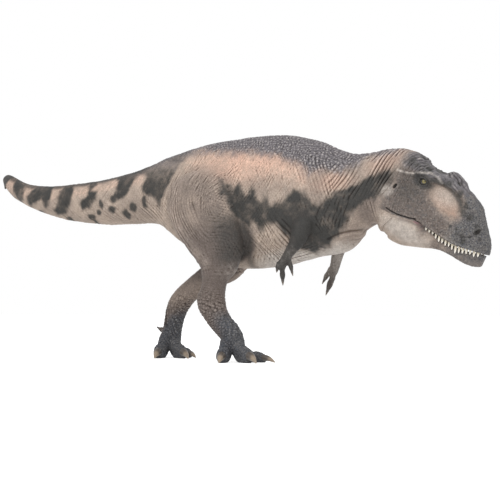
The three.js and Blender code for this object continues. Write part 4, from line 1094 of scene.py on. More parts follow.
def spray_tail(paints, points, warped, stroke):
    """Dark marks round the tail, greyer towards its top, with a dark upper edge and spots."""
    x, _, z = points.T
    for outline in tail_marks:
        mark = ramp(depth_inside(warped, outline) + 0.6 * stroke, -2.2, 2.0)
        greyed = 0.55 * ramp(z + 2 * stroke, 106, 122) * ramp(x, -75, -60)
        lay(paints, "soot", mark * (0.9 + 0.3 * rough_noise(points, 5, 75) - greyed))
        lay(paints, "slate", mark * greyed)
    lay(paints, "soot", 0.75 * ramp(z - tail_top(x), -4.5, -1) * (1 - ramp(x, -70, -50)))
    for middle_x, middle_z, wide, high in tail_spots:
        lay(paints, "soot", 0.85 * oval(warped, (middle_x, middle_z), (wide, high), 0, 0.5))


def spray_leg(paints, points, normals, side):
    """Brown from the thigh down, painted shade on the front and inner side, dipped in ash grey at the
    foot.
    """
    _, y, z = points.T
    own = side_of[side] * y > 0
    share = leg_share_of(points, side) + 0.08 * noise(points, 8, 66)
    leg = np.maximum(1 - ramp(share, 1.15, 1.6), own * (1 - ramp(z, 46, 50)))
    brown = 1 - ramp(z + 5 * noise(points, 9, 77), 66, 106)
    brown = brown * (1 - leg_fade[side] * ramp(z, 26, 40))
    lay(paints, "umber", leg * brown)
    ahead = leg_front(points, side)
    # Painted shade down the front of the thigh.
    front = ramp(ahead, -0.3, 0.8) * ramp(z, 50, 62) * (1 - ramp(z, 78, 98))
    lay(paints, "soot", leg_front_shade[side] * leg * front)
    ahead = np.clip(ahead, -1, 1)
    dipped = 1 - ramp(z + 3 * noise(points, 8, 67) - 7 * ahead, 15, 31)
    lay(paints, "ashen", own * dipped)
    lay(paints, "lace", own * dipped * (0.04 + 0.18 * ramp(ahead, -0.3, 0.5)))
    # Painted shade on the faces of the legs that turn towards each other.
    inner_shade = ramp(-side_of[side] * normals[:, 1], 0.1, 0.7) * ramp(z, 26, 62)
    lay(paints, "umber", leg * inner_shade)
    lay(paints, "soot", 0.4 * leg * inner_shade)


# Dark spots on the snout: along, up and size.
snout_spots = [
    (0.79, -0.045, 0.026), (0.81, -0.08, 0.02), (0.745, -0.05, 0.018), (0.85, 0.06, 0.022),
    (0.905, -0.02, 0.016), (0.72, -0.02, 0.014), (0.84, -0.03, 0.014), (0.66, -0.03, 0.014),
    (0.62, 0.22, 0.034), (0.7, 0.17, 0.03), (0.78, 0.11, 0.028), (0.52, 0.27, 0.03),
]


def paint_head(points, normals):
    """Shares of each paint on the head and the lower jaw."""
    paints = paint_body(points, normals)
    flat = head_flat(points)
    along, up = flat[:, 0], flat[:, 1]
    patch = {name: oval(flat, *place) for name, place in head_patches.items()}
    face = ramp(along + 0.03 * rough_noise(points, 5, 70), 0.0, 0.2)
    for name in ("slate", "soot", "blush", "umber", "ashen", "lace", "mosaic"):
        paints[name] = paints[name] * (1 - face)
    wobble = 0.02 * rough_noise(points, 4, 71)
    crown = ramp(up + wobble, 0.2, 0.28) * face
    hollow = oval(flat + 0.6 * wobble[:, None], hollow_middle, hollow_radii, hollow_turn, 0.5)
    snout = ramp(along + wobble, 0.58, 0.74)
    lay(paints, "slate", crown)
    lay(paints, "umber", face * (1 - snout) * (1 - hollow) * (1 - 0.5 * crown))
    lay(paints, "ashen", 0.82 * face * snout * (1 - hollow))
    lay(paints, "blush", face * 0.2 * hollow)
    paints["rust"] = face * (0.45 * patch["rusty hollow"] + 0.2 * patch["rusty cheek"])
    paints["pale"] = 0.4 * patch["pale hollow"]
    paints["pink"] = 0.85 * patch["mouth corner"]
    # The rear of the lower jaw is left pale, but for a brown line under the lip.
    below_lip_line = np.interp(along, *np.array(lip_shares).T[:2]) - up
    below = ramp(below_lip_line, 0.01, 0.03)
    pale_jaw = below * (1 - ramp(along + wobble, 0.5, 0.66)) * ramp(along, 0.04, 0.17)
    paints["umber"] *= 1 - pale_jaw
    paints["ashen"] *= (1 - pale_jaw) * (1 - 0.25 * below)
    lay(paints, "pale", 0.6 * pale_jaw * patch["pale chin"])
    under_lip = below * (1 - ramp(below_lip_line, 0.02, 0.07)) * ramp(along, 0.12, 0.3)
    lay(paints, "umber", 0.8 * under_lip * pale_jaw)
    # Pale lumps along the brow, and a pale patch round the ear.
    lumps = 0.75 + 0.35 * noise(points, 2.6, 76)
    lay(paints, "pale", 0.55 * lumps * band(distance_to_line(flat, brow_line), 0.011))
    lay(paints, "pale", 0.5 * patch["ear surround"])
    crease = distance_to_line(flat, mouth_crease) * skull_length
    # Painted shade in the head's hollows and openings, and dark paint on the crown and snout.
    dark = head_marks_and_shade(points, flat, patch, crease, wobble, face, crown)
    dark = dark * (1 - 0.9 * pale_jaw * (crease > 1.0))
    lay(paints, "soot", dark)
    lace = face * (1 - hollow) * (1 - pale_jaw) * (0.25 + 0.25 * snout) * (1 - 0.8 * crown)
    lay(paints, "lace", lace * (1 - 0.7 * below) * (1 - dark))
    lay(paints, "mosaic", face * (1 - 0.8 * hollow) * (1 - 0.8 * pale_jaw))
    return paints


def head_marks_and_shade(points, flat, patch, crease, wobble, face, crown):
    """Painted shade round the eye, under the crest, on the cheek and in each opening; dark crown and
    snout marks.
    """
    fore = 0.5 * ramp(flat[:, 0], 0.38, 0.48)
    marks = [
        0.9 * patch["shaded eye socket"],
        0.8 * band(distance_to_line(flat, upper_rim), 0.032),
        0.5 * patch["shaded cheek"] * face,
        (0.7 - fore) * crown * (0.7 + 0.9 * noise(points, 3.0, 78)),
        0.9 * patch["nostril shade"],
        patch["ear"],
        band(crease, 0.4),
    ]
    for along, up, size in snout_spots:
        spot = oval(flat + wobble[:, None], (along, up), (size, size), 0, 0.7)
        marks.append(0.8 * spot)
    return np.maximum.reduce(marks)


# Materials. Each one's patterns are given by their size in millimetres.
def add(tree, kind, inputs, out=0, **settings):
    """Adds a shader node with its settings. An input takes a value or another node's socket."""
    node = tree.nodes.new("ShaderNode" + kind)
    for key, value in settings.items():
        setattr(node, key, value)
    for key, value in inputs.items():
        if isinstance(value, bpy.types.NodeSocket):
            tree.links.new(value, node.inputs[key])
        else:
            node.inputs[key].default_value = value
    return node.outputs[out] if node.outputs else node


# Settings that many nodes share. Where input names repeat, inputs go by number: 0 to 4 are a
# MapRange's value, low, high, floor and ceiling, and 0, 6 and 7 are a Mix's share, the colour
# below and the colour above. Its mixed colour comes out at 2.
times = {"operation": "MULTIPLY"}
times_plus = {"operation": "MULTIPLY_ADD"}
larger = {"operation": "MAXIMUM"}
scaled = {"operation": "SCALE"}
eased = {"interpolation_type": "SMOOTHSTEP"}
over = {"data_type": "RGBA"}


def new_material(name):
    material = bpy.data.materials.new(name)
    material.use_nodes = True
    material.node_tree.nodes.clear()
    return material, material.node_tree


def per_mm(size):
    """Texture scale, on coordinates in metres, for a pattern of that size in millimetres."""
    return 1 / (size * MM)


cream_paint = "#bdab9c"
shaded_cream = "#a99a8e"
# The near-black layer is both the dark pattern's paint and painted shade: the shadow before the thigh,
# the shade on the legs and arms, and in the head's hollows and openings.
paint_layers = {
    "blush": "#dfb7a2", "rust": "#ab8670", "umber": "#6e635d", "slate": "#716d71",
    "ashen": "#44474e", "soot": "#3b3a38", "pale": "#c9c1b9", "pink": "#8f676b",
}
# Scales that stand out: paint, the random tones from which and to which it grows, and strength.
odd_scales = [("#4b4a4c", 0.45, 1.0, 0.5), ("#b5b0aa", 0.25, 0.0, 0.1)]
wash_paint = "#857970"
dry_brush = "#e4dad0"
lace_paint = "#8b8781"
# Unevenness of the spray: size, detail and roughness.
spray_noises = [(9, 5.0, 0.62), (2.6, 4.0, 0.6), (0.9, 3.0, 0.6)]
net_size = 1.35
scale_variety = 0.9
vinyl_ior = 1.45


def painted_vinyl(name, scale_mm, grooves):
    """Soft vinyl, sprayed with matt acrylic, washed dark in the creases and dry-brushed.

    The eye gets dull, mottled paint that frays where two sprays meet, dark creases, pale
    ridges, and fine scales that break up the light.
    """
    material, tree = new_material(name)
    place = add(tree, "TexCoord", {}, "Object")
    mark = {
        key: add(tree, "Attribute", {}, "Fac", attribute_name=key)
        for key in (*paint_layers, "mosaic", "lace", "relief")
    }
    blotch, cloud, grain = [
        add(tree, "TexNoise", {
            "Vector": place, "Scale": per_mm(size), "Detail": detail, "Roughness": rough,
        }, "Fac")
        for size, detail, rough in spray_noises
    ]
    rim, fine_rim = [
        add(tree, "TexVoronoi", {
            "Vector": place, "Scale": per_mm(size), "Randomness": scale_variety,
        }, "Distance", feature="DISTANCE_TO_EDGE")
        for size in (scale_mm, net_size)
    ]
    tone = add(tree, "TexVoronoi", {
        "Vector": place, "Scale": per_mm(scale_mm), "Randomness": scale_variety,
    }, "Color")
    tone = add(tree, "SeparateColor", {"Color": tone}, "Red")
    pebble = add(tree, "MapRange", {0: rim, 1: 0.0, 2: 0.16}, **eased)
    # Paint layers, each frayed at its edge by the clouds.
    shade = add(tree, "MapRange", {0: blotch, 1: 0.3, 2: 0.7}, **eased)
    colour = add(tree, "Mix", {0: shade, 6: linear(cream_paint), 7: linear(shaded_cream)}, 2, **over)
    fray = add(tree, "Math", {0: cloud, 1: 0.55, 2: -0.275}, **times_plus)
    for key, paint in paint_layers.items():
        frayed = add(tree, "Math", {0: mark[key], 1: fray}, operation="ADD")
        share = add(tree, "MapRange", {0: frayed, 1: 0.0, 2: 1.0}, **eased)
        reached = add(tree, "MapRange", {0: mark[key], 1: 0.0, 2: 0.1}, **eased)
        share = add(tree, "Math", {0: share, 1: reached}, **times)
        colour = add(tree, "Mix", {0: share, 6: colour, 7: linear(paint)}, 2, **over)
    # Scales differ a little from one to the next.
    for paint, low, high, strength in odd_scales:
        share = add(tree, "MapRange", {0: tone, 1: low, 2: high, 4: strength}, **eased)
        share = add(tree, "Math", {0: mark["mosaic"], 1: share}, **times)
        colour = add(tree, "Mix", {0: share, 6: colour, 7: linear(paint)}, 2, **over)
    # The wash lies dark in the creases and between the scales, but where lace lies in them.
    bare = add(tree, "Math", {0: mark["lace"], 1: -1.0, 2: 1.0}, **times_plus)
    sunk = add(tree, "MapRange", {0: mark["relief"], 1: 0.0, 2: -0.2, 4: 0.8}, **eased)
    groove = add(tree, "Math", {0: pebble, 1: -grooves, 2: grooves}, **times_plus)
    washed = add(tree, "Math", {0: sunk, 1: groove}, **larger)
    washed = add(tree, "Math", {0: washed, 1: bare}, **times)
    colour = add(tree, "Mix", {0: washed, 6: colour, 7: linear(wash_paint)}, 2,
                 blend_type="MULTIPLY", **over)
    net = add(tree, "MapRange", {0: fine_rim, 1: 0.14, 2: 0.03}, **eased)
    creased = add(tree, "MapRange", {0: mark["relief"], 1: -0.06, 2: -0.3, 4: 0.6}, **eased)
    laced = add(tree, "Math", {0: net, 1: creased}, **larger)
    laced = add(tree, "Math", {0: laced, 1: mark["lace"]}, **times)
    colour = add(tree, "Mix", {0: laced, 6: colour, 7: linear(lace_paint)}, 2, **over)
    # The dry brush catches what stands up, and hardly shows on the darkest paint and the painted shade.
    raised = add(tree, "MapRange", {0: mark["relief"], 1: 0.0, 2: 0.3}, **eased)
    raised = add(tree, "Math", {0: raised, 1: bare}, **times)
    brushed = add(tree, "Math", {0: mark["slate"], 1: 0.16, 2: 0.08}, **times_plus)
    undarkened = add(tree, "Math", {0: mark["soot"], 1: -0.9, 2: 1.0}, **times_plus)
    brushed = add(tree, "Math", {0: brushed, 1: undarkened}, **times)
    brushed = add(tree, "Math", {0: brushed, 1: raised}, **times)
    colour = add(tree, "Mix", {0: brushed, 6: colour, 7: linear(dry_brush)}, 2, **over)
    thin = add(tree, "Math", {0: mark["soot"], 1: -0.46, 2: 0.5}, **times_plus)
    lifted = add(tree, "Math", {0: raised, 1: thin, 2: 1.0}, **times_plus)
    mottled = add(tree, "MapRange", {0: cloud, 1: 0.3, 2: 0.7, 3: 0.9, 4: 1.1}, **eased)
    speckled = add(tree, "MapRange", {0: grain, 1: 0.35, 2: 0.7, 3: 0.94, 4: 1.06}, **eased)
    for factor in (lifted, mottled, speckled):
        colour = add(tree, "VectorMath", {0: colour, "Scale": factor}, **scaled)
    height = add(tree, "Math", {0: grain, 1: 0.5, 2: pebble}, **times_plus)
    bump = add(tree, "Bump", {"Strength": 0.5, "Distance": 0.22 * MM, "Height": height})
    rough = add(tree, "MapRange", {0: blotch, 1: 0.3, 2: 0.7, 3: 0.58, 4: 0.72}, **eased)
    shader = add(tree, "BsdfPrincipled", {
        "Base Color": colour, "Roughness": rough, "Normal": bump, "IOR": vinyl_ior,
        "Specular IOR Level": 0.35,
    })
    add(tree, "OutputMaterial", {"Surface": shader})
    return material


# Hard paints, each at the root and at the tip of its piece.
claw_paints = ("#4f4842", "#8f806f")
talon_paints = ("#4a4440", "#6f655b")
tooth_paints = ("#d6c8ac", "#f6f1e6")
mouth_paints = ("#3a2c2b", "#6b4745")


def satin(name, paints, roughness, grain_mm):
    """Hard satin paint that runs unevenly from one colour to another along the piece.

    The eye gets a soft highlight that the paint's grain breaks up.
    """
    material, tree = new_material(name)
    place = add(tree, "TexCoord", {}, "Object")
    share = add(tree, "Attribute", {}, "Fac", attribute_name="tip")
    grain = add(tree, "TexNoise", {"Vector": place, "Scale": per_mm(grain_mm), "Detail": 4.0}, "Fac")
    uneven = add(tree, "Math", {0: grain, 1: 0.5, 2: share}, **times_plus)
    share = add(tree, "MapRange", {0: uneven, 1: 0.35, 2: 1.2}, **eased)
    base, tip = (linear(paint) for paint in paints)
    colour = add(tree, "Mix", {0: share, 6: base, 7: tip}, 2, **over)
    bump = add(tree, "Bump", {"Strength": 0.3, "Distance": 0.1 * MM, "Height": grain})
    rough = add(tree, "MapRange", {
        0: grain, 1: 0.3, 2: 0.7, 3: roughness - 0.07, 4: roughness + 0.07,
    }, **eased)
    shader = add(tree, "BsdfPrincipled", {
        "Base Color": colour, "Roughness": rough, "Normal": bump, "IOR": 1.46,
    })
    add(tree, "OutputMaterial", {"Surface": shader})
    return material


eye_paints = {"pupil": "#14120f", "rim": "#24201a", "iris": "#5f552c", "flecks": "#897d45"}
pupil_edge = (0.1, 0.17)  # angles from the middle of the pupil, in radians
iris_edge = (0.4, 0.52)


def eye_enamel():
    """Painted eye under a gloss coat: the eye gets a small sharp light on a dark bead."""
    material, tree = new_material("gloss_coated_eye_enamel")
    gaze = add(tree, "Attribute", {}, "Fac", attribute_name="gaze")
    place = add(tree, "TexCoord", {}, "Object")
    flecks = add(tree, "TexNoise", {"Vector": place, "Scale": per_mm(0.5), "Detail": 3.0}, "Fac")
    flecked = add(tree, "MapRange", {0: flecks, 1: 0.35, 2: 0.65}, **eased)
    paint = {name: linear(text) for name, text in eye_paints.items()}
    colour = add(tree, "Mix", {0: flecked, 6: paint["iris"], 7: paint["flecks"]}, 2, **over)
    ringed = add(tree, "MapRange", {0: gaze, 1: iris_edge[0], 2: iris_edge[1]}, **eased)
    colour = add(tree, "Mix", {0: ringed, 6: colour, 7: paint["rim"]}, 2, **over)
    outside = add(tree, "MapRange", {0: gaze, 1: pupil_edge[0], 2: pupil_edge[1]}, **eased)
    colour = add(tree, "Mix", {0: outside, 6: paint["pupil"], 7: colour}, 2, **over)
    shader = add(tree, "BsdfPrincipled", {
        "Base Color": colour, "IOR": 1.45, "Roughness": 0.2, "Coat Weight": 0.25,
        "Coat Roughness": 0.05,
    })
    add(tree, "OutputMaterial", {"Surface": shader})
    return material


steel_tones = ("#a9abac", "#c4c6c8")


def turned_steel():
    """Turned free-cutting steel: the eye gets fine rings left by the tool, and a dull shine."""
    material, tree = new_material("turned_steel_bar")
    place = add(tree, "TexCoord", {}, "Object")
    rings = add(tree, "TexWave", {"Vector": place, "Scale": per_mm(3), "Distortion": 0.4}, "Fac",
                bands_direction="Y")
    dull, bright = (linear(tone) for tone in steel_tones)
    colour = add(tree, "Mix", {0: rings, 6: dull, 7: bright}, 2, **over)
    bump = add(tree, "Bump", {"Strength": 0.15, "Distance": 0.03 * MM, "Height": rings})
    shader = add(tree, "BsdfPrincipled", {
        "Base Color": colour, "Normal": bump, "Metallic": 1.0, "Roughness": 0.32,
    })
    add(tree, "OutputMaterial", {"Surface": shader})
    return material


def finish_piece(piece, material, body, slot, *nodes, smooth=30.0):
    """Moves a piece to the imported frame, in metres, and hands it to its body."""
    set_points(piece, (points_of(piece) + home) * MM)
    piece.data.materials.clear()
    piece.data.materials.append(material)
    bpy.ops.object.select_all(action="DESELECT")
    piece.select_set(True)
    bpy.context.view_layer.objects.active = piece
    bpy.ops.object.shade_smooth_by_angle(angle=math.radians(smooth))
    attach(piece, body)
    if nodes:
        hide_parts(*nodes)
    return piece


def painted(piece, paints_of):
    """Stores the share of each paint on a piece, for its material."""
    heal_relief(piece)
    for name, values in paints_of(points_of(piece), normals_of(piece)).items():
        store(piece, name, np.clip(values, 0, 1))
    return piece


# The trunk, tail, legs and arms are sculpted as one skin and cut into the figure's mouldings.
def sculpt_body():
    parts = [body_skin()]
    for side in side_of:
        parts.append(leg_skin(side))
        parts += arm_skins(side)
    whole = remeshed(joined("whole_body", parts), body_voxel)
    relax(whole, rounds=4)
    soften_creases(whole, rounds=40, spread=7)
    emboss(whole, body_relief)
    return whole


# How far the cells that cut out a leg and an arm stand off its skin.
leg_margin = 1.4
arm_margin = 1.1


def cut_body(whole, materials):
    """Cuts the skin into tail, legs, arms and the two halves of the trunk."""
    ankle = foot_cut_share * hip_height
    legs = {side: leg_skin(side, grow=leg_margin) for side in leg_shares}
    arms = {
        side: remeshed(joined("arm_cell", arm_skins(side, grow=arm_margin)), cell_voxel)
        for side in arm_shares
    }
    behind = block(far_low, (tail_seam_x, reach, reach))
    ahead = block((head_seam_x, -reach, -reach), far_high)
    under = block(far_low, (reach, reach, ankle))
    tail = cut(copied(whole, "tail_skin"), "INTERSECT", behind)
    finish_piece(painted(tail, paint_body), materials["tail"], "figure", "tail_vinyl", "tail")
    for side in side_of:
        leg = cut(copied(whole, side + "_leg_skin"), "INTERSECT", legs[side])
        cut(leg, "DIFFERENCE", under)
        finish_piece(painted(leg, paint_body), materials["leg"], "figure", "leg_vinyl", side + "_leg")
        arm = cut(copied(whole, side + "_arm_skin"), "INTERSECT", arms[side])
        finish_piece(painted(arm, paint_body), materials["arm"], "figure", "arm_vinyl", side + "_arm")
    cut(whole, "DIFFERENCE", behind, ahead, *legs.values(), *arms.values())
    right_half = block(far_low, (reach, 0, reach))
    for side, operation in (("right", "INTERSECT"), ("left", "DIFFERENCE")):
        shell = cut(copied(whole, "trunk_" + side + "_skin"), operation, right_half)
        finish_piece(painted(shell, paint_body), materials["flank"], "figure", "flank_vinyl",
                     "trunk_" + side + "_shell")
    remove(whole, behind, ahead, under, right_half, *legs.values(), *arms.values())


# The head and lower jaw.
throat_angle = math.radians(240.0)
throat_reach_share = 0.3
under_share = -0.5
slide_share = 1.05
mouth_share = {"roof": 0.05, "floor": 0.036, "tongue": 0.026, "open": 0.052}
jaw_inset = lip_wall + gum_width + 2 * seam_gap
cheek_share = 0.4
jaw_tip_share = 0.985
jaw_block_low = -0.4
jaw_block_high = 0.36
rear_block_half = 0.6
block_overlap = 0.005
flush_gap = 0.03  # the round jaw root closes against the cheek, so that no gap shows


def head_prism(name, outline, half_width):
    """A block across the head, from an outline in shares of the skull."""
    count = len(outline)
    points = [in_head(along, side * half_width, up) for side in (-1, 1) for along, up in outline]
    faces = [tuple(range(count)), tuple(reversed(range(count, 2 * count)))]
    faces += [(k, (k + 1) % count, count + (k + 1) % count, count + k) for k in range(count)]
    piece = new_piece(name, points, faces)
    turn_out(piece)
    return apply(piece, "TRIANGULATE")


def below_lip(column, rear_angle):
    """A block under one lip, which ends at the hinge."""
    throat = (hinge_share[0] + throat_reach_share * math.cos(rear_angle),
              hinge_share[1] + throat_reach_share * math.sin(rear_angle))
    line = [(row[0], row[column]) for row in lip_shares]
    under = [(line[-1][0], under_share), (throat[0], under_share)]
    return head_prism("below_lip", [hinge_share] + line + under + [throat], trunk_width / 2)


def jaw_ball(radius):
    """The round root of the jaw, about the hinge."""
    bpy.ops.mesh.primitive_uv_sphere_add(segments=64, ring_count=32, radius=radius, location=hinge)
    bpy.ops.object.transform_apply(location=True)
    return bpy.context.object


def upper_lip_half(along):
    return head_half_width(along, interpolated(lip_shares, along, 1)) - lip_wall


def lower_jaw_half(along):
    return upper_lip_half(along) + lip_wall - jaw_inset


def lower_lip_half(along):
    up = interpolated(lip_shares, along, 2) - mouth_share["floor"]
    return min(lower_jaw_half(along), head_half_width(along, up)) - lip_wall


def jaw_side_half(along):
    """Half width of the lower jaw: full at the cheek, and inset beside the teeth."""
    if along >= gum_start_share:
        return lower_jaw_half(min(along, gum_end_share))
    ends = (skull_width / 2, lower_jaw_half(gum_start_share))
    return np.interp(along, (cheek_share, gum_start_share), ends)


def level(up):
    """One height all along the mouth."""
    return lambda along: up


def lip_line(column, lift):
    """The height of one lip along the mouth, lifted by a share of the skull."""
    return lambda along: interpolated(lip_shares, along, column) + lift


def mouth_bar(name, start, end, half_at, low_at, high_at, power=8, steps=12):
    """A bar with an upright-sided section that follows the mouth."""
    middles, sizes = [], []
    for along in np.linspace(start, end, steps):
        low, high = low_at(along), high_at(along)
        middles.append(in_head(along, 0, (low + high) / 2))
        half = (high - low) / 2 * skull_length
        sizes.append((half_at(along), half, half))
    return loft(name, middles, sizes, across_head, around=48, between=2, powers=(power, power))


neck_overlap = 6.0


def sculpt_head():
    """The skull and its crests, fused with the end of the neck."""
    parts = [body_skin(), head_core(), head_ridge(-1), head_ridge(1)]
    behind = block(far_low, (head_seam_x - neck_overlap, reach, reach))
    cut(parts[0], "DIFFERENCE", behind)
    remove(behind)
    whole = remeshed(joined("whole_head", parts), fine_voxel)
    relax(whole, rounds=8)
    soften_creases(whole, rounds=16, spread=4)
    emboss(whole, head_relief)
    behind = block(far_low, (head_seam_x, reach, reach))
    cut(whole, "DIFFERENCE", behind)
    remove(behind)
    return whole


def cut_head(whole, materials):
    """Cuts the skin into head and lower jaw, each with its hollow for the teeth."""
    roof, floor, gape_share = (mouth_share[name] for name in ("roof", "floor", "open"))
    gape = below_lip(1, throat_angle)
    ball = jaw_ball(jaw_ball_radius + flush_gap)
    above_hinge = head_prism("above_hinge", [
        (-1, hinge_share[1]), (2, hinge_share[1]), (2, 1), (-1, 1)], reach / 2)
    cut(ball, "DIFFERENCE", above_hinge)
    hollow = mouth_bar("upper_hollow", gum_start_share, gum_end_share, upper_lip_half,
                       lip_line(1, -gape_share), lip_line(1, roof))
    head = cut(copied(whole, "head_skin"), "DIFFERENCE", gape, ball, hollow)
    finish_piece(painted(head, paint_head), materials["head"], "figure", "head_vinyl", "head")
    # The jaw's cell: narrow beside the teeth, full width behind the cheek, and a ball that
    # slides in the head.
    sides = mouth_bar("jaw_sides", cheek_share, jaw_tip_share, jaw_side_half,
                      level(jaw_block_low), level(jaw_block_high), power=14, steps=24)
    seam = cheek_share + block_overlap
    rear = head_prism("jaw_rear", [
        (-1, -rear_block_half), (seam, -rear_block_half), (seam, rear_block_half),
        (-1, rear_block_half)], trunk_width / 2)
    cheeks = below_lip(2, throat_angle + slide_share * jaw_opening)
    side_cell = cut(copied(cheeks, "side_cell"), "INTERSECT", sides)
    rear_cell = cut(cheeks, "INTERSECT", rear)
    sliding = cut(jaw_ball(jaw_ball_radius), "INTERSECT", below_lip(2, throat_angle))
    cell = cut(cut(side_cell, "UNION", rear_cell), "UNION", sliding)
    mouth = mouth_bar("lower_hollow", gum_start_share, lower_gum_end_share, lower_lip_half,
                      lip_line(2, -floor), lip_line(2, gape_share))
    jaw = cut(copied(whole, "lower_jaw_skin"), "INTERSECT", cell)
    cut(jaw, "DIFFERENCE", mouth)
    finish_piece(painted(jaw, paint_head), materials["jaw"], "jaw", "jaw_vinyl", "lower_jaw")
    for extra in [o for o in bpy.data.objects if o.type == "MESH" and "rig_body" not in o]:
        remove(extra)


# Feet: toes and first toe are sculpted finer than the body, the claws apart.
plate_spacing = 1.75


def foot_relief(side):
    """The relief of a foot: the leg's above, and plates across the top of each toe."""
    def relief(points, normals):
        height = body_relief(points, normals)
        toe_zone = 1 - ramp(points[:, 2], 11, 15)
        height = height * (1 - toe_zone)
        for heading, _, _, beside in toes[side]:
            root, ahead = toe_frame(side, heading, beside)
            away = points - root
            along = away @ ahead
            across = away @ np.array([-ahead[1], ahead[0], 0])
            on_toe = (1 - ramp(np.abs(across), 3.2, 4.6)) * ramp(along, 3, 7) * toe_zone
            top = ramp(normals[:, 2], 0.1, 0.6)
            phase = along / plate_spacing + 0.1 * noise(points, 4, 80)
            plates = np.abs(np.sin(math.pi * phase)) ** 0.6 - 0.72
            height += 0.45 * on_toe * top * plates
        lumps = 0.28 * scales(points, scale_size["toe"], 82) + 0.14 * noise(points, 4, 83)
        return height + toe_zone * lumps
    return relief


def make_foot(side, materials):
    """A foot with its toes and first toe, and its claws as a piece of the same moulding."""
    parts = [leg_skin(side, rows=foot_rows)]
    claws = []
    for heading, length, high, beside in toes[side]:
        root, ahead = toe_frame(side, heading, beside)
        parts.append(toe_loft("toe", toe_shares, root, ahead, 0, length * toe_length,
                              around=40, high=high))
        claws.append(toe_loft("claw", claw_shares, root, ahead, length * toe_length,
                              length * claw_length, around=24, high=high))
    root, ahead = spur_root(side), heading_of(spur_heading[side])
    length = spur_length_share * toe_length
    parts.append(toe_loft("spur", spur_shares[:4], root, ahead, 0, length, around=24))
    claws.append(toe_loft("spur_claw", spur_shares[2:], root, ahead, 0, length, around=16))
    foot = remeshed(joined(side + "_foot_skin", parts), fine_voxel)
    relax(foot, rounds=6)
    soften_creases(foot, rounds=12, spread=3)
    emboss(foot, foot_relief(side))
    above = block((-reach, -reach, foot_cut_share * hip_height), far_high)
    below = block(far_low, (reach, reach, 0))
    cut(foot, "DIFFERENCE", above, below)
    remove(above, below)
    finish_piece(painted(foot, paint_body), materials["foot"], "figure", "foot_vinyl", side + "_foot")
    finish_claws(claws, side + "_foot_claws", materials["claw"], "foot_vinyl")


floor_clearance = 0.05
claw_tip = (0.38, 0.75)  # where a claw grows light, in shares from its root to its point


def finish_claws(claws, name, material, slot):
    """Joins the claws, lighter towards their tips, and keeps them off the floor."""
    for claw in claws:
        points = points_of(claw)
        share = np.linspace(0, 1, len(points))
        store(claw, "tip", ramp(share, *claw_tip) * ("spur" not in claw.name))
    whole = joined(name, claws)
    points = points_of(whole)
    points[:, 2] = np.maximum(points[:, 2], floor_clearance)
    set_points(whole, points)
    finish_piece(whole, material, "figure", slot, smooth=60.0)


def make_hand_claws(side, materials):
    """The claws at the ends of one hand's fingers."""
    claws = [finger_skin(side, finger, finger_claw_shares) for finger in finger_shares[side]]
    finish_claws(claws, side + "_hand_claws", materials["talon"], "arm_vinyl")


# Mouth. Each tooth row: lip column, way out of the gum, width of a tooth, how far its tip leans
# forward, height of the row, its body, and the teeth's lengths from the rear to the front.
tooth_rows = {
    "upper": (1, -1, 1.95, 0.38, mouth_share["roof"], "figure", [0.5, 0.72, 0.95, 1.0, 0.85, 0.55]),
    "lower": (2, 1, 1.3, 0.0, mouth_share["floor"], "jaw", [0.2, 0.24, 0.26, 0.26, 0.22, 0.2]),
}
tooth_section = (0.9, 0.75)  # length along the lip and thickness, over the tooth's width
tooth_curve = 0.16
sideways_lean = 0.06
gum_steps = 14
gum_front = (0.006, 0.35)  # how far the gum's front lies ahead, and its half width over the mouth's
tongue_end_share = 0.82


def tooth_shape():
    """One tooth, 1 high: a cone with a curved edge, modelled once and copied."""
    bpy.ops.object.select_all(action="DESELECT")
    bpy.ops.mesh.primitive_cylinder_add(vertices=8, radius=0.5, depth=1, end_fill_type="TRIFAN")
    tooth = bpy.context.object
    bpy.ops.object.mode_set(mode="EDIT")
    bpy.ops.mesh.select_all(action="SELECT")
    bpy.ops.mesh.subdivide(number_cuts=4)
    bpy.ops.object.mode_set(mode="OBJECT")
    points = points_of(tooth)
    height = points[:, 2] + 0.5
    taper = 0.75 * np.sqrt(1 - height**3) + 0.25 * (1 - height)
    points[:, :2] *= taper[:, None]
    points[:, 0] -= tooth_curve * height**2
    points[:, 2] = height
    set_points(tooth, points)
    return tooth


def tooth_row(which, end, half_at, materials):
    """Teeth along one lip, a little uneven in length, and the strip of gum that holds them."""
    column, direction, wide, forward_lean, depth, body, length_shares = tooth_rows[which]
    name = which + "_teeth"
    gap = seam_gap / skull_length
    start = gum_start_share + gap
    last = end - gum_width / 2 / skull_length
    shape = tooth_shape()
    points = points_of(shape)
    teeth = []
    count = int(((end - start) * skull_length - gum_width / 2) / tooth_spacing)
    for i in range(count + 1):
        along = start + (i + 0.5) * tooth_spacing / skull_length
        if along > last:
            continue
        place = (along - start) / (end - start) * (len(length_shares) - 1)
        length = tooth_length * np.interp(place, range(len(length_shares)), length_shares)
        length *= 1 + 0.16 * math.sin(5.1 * i) + 0.1 * math.sin(2.3 * i)
        tall = length + gum_width / 2
        lip = interpolated(lip_shares, along, column) - direction * gap
        for side in (-1, 1):
            base = in_head(along, side * (half_at(along) - gum_width / 2), lip)
            base = base - direction * gum_width / 2 * head_up
            rise = direction * head_up + side * leftward * sideways_lean + head_along * forward_lean
            tooth = copied(shape, "tooth")
            set_points(tooth, base + points[:, :1] * wide * tooth_section[0] * head_along
                       + points[:, 1:2] * wide * tooth_section[1] * leftward
                       + points[:, 2:] * tall * rise)
            turn_out(tooth)
            store(tooth, "tip", points[:, 2])
            teeth.append(tooth)
    remove(shape)
    finish_piece(joined(name, teeth), materials["tooth"], body, "ivory_plastic",
                 which + "_tooth_row", smooth=50.0)
    gum = gum_strip(name + "_gum", start, last, half_at, lip_line(column, -direction * (gap + depth / 2)),
                    (depth - 2 * gap) / 2 * skull_length)
    finish_piece(gum, materials["mouth"], body, "mouth_vinyl", smooth=60.0)


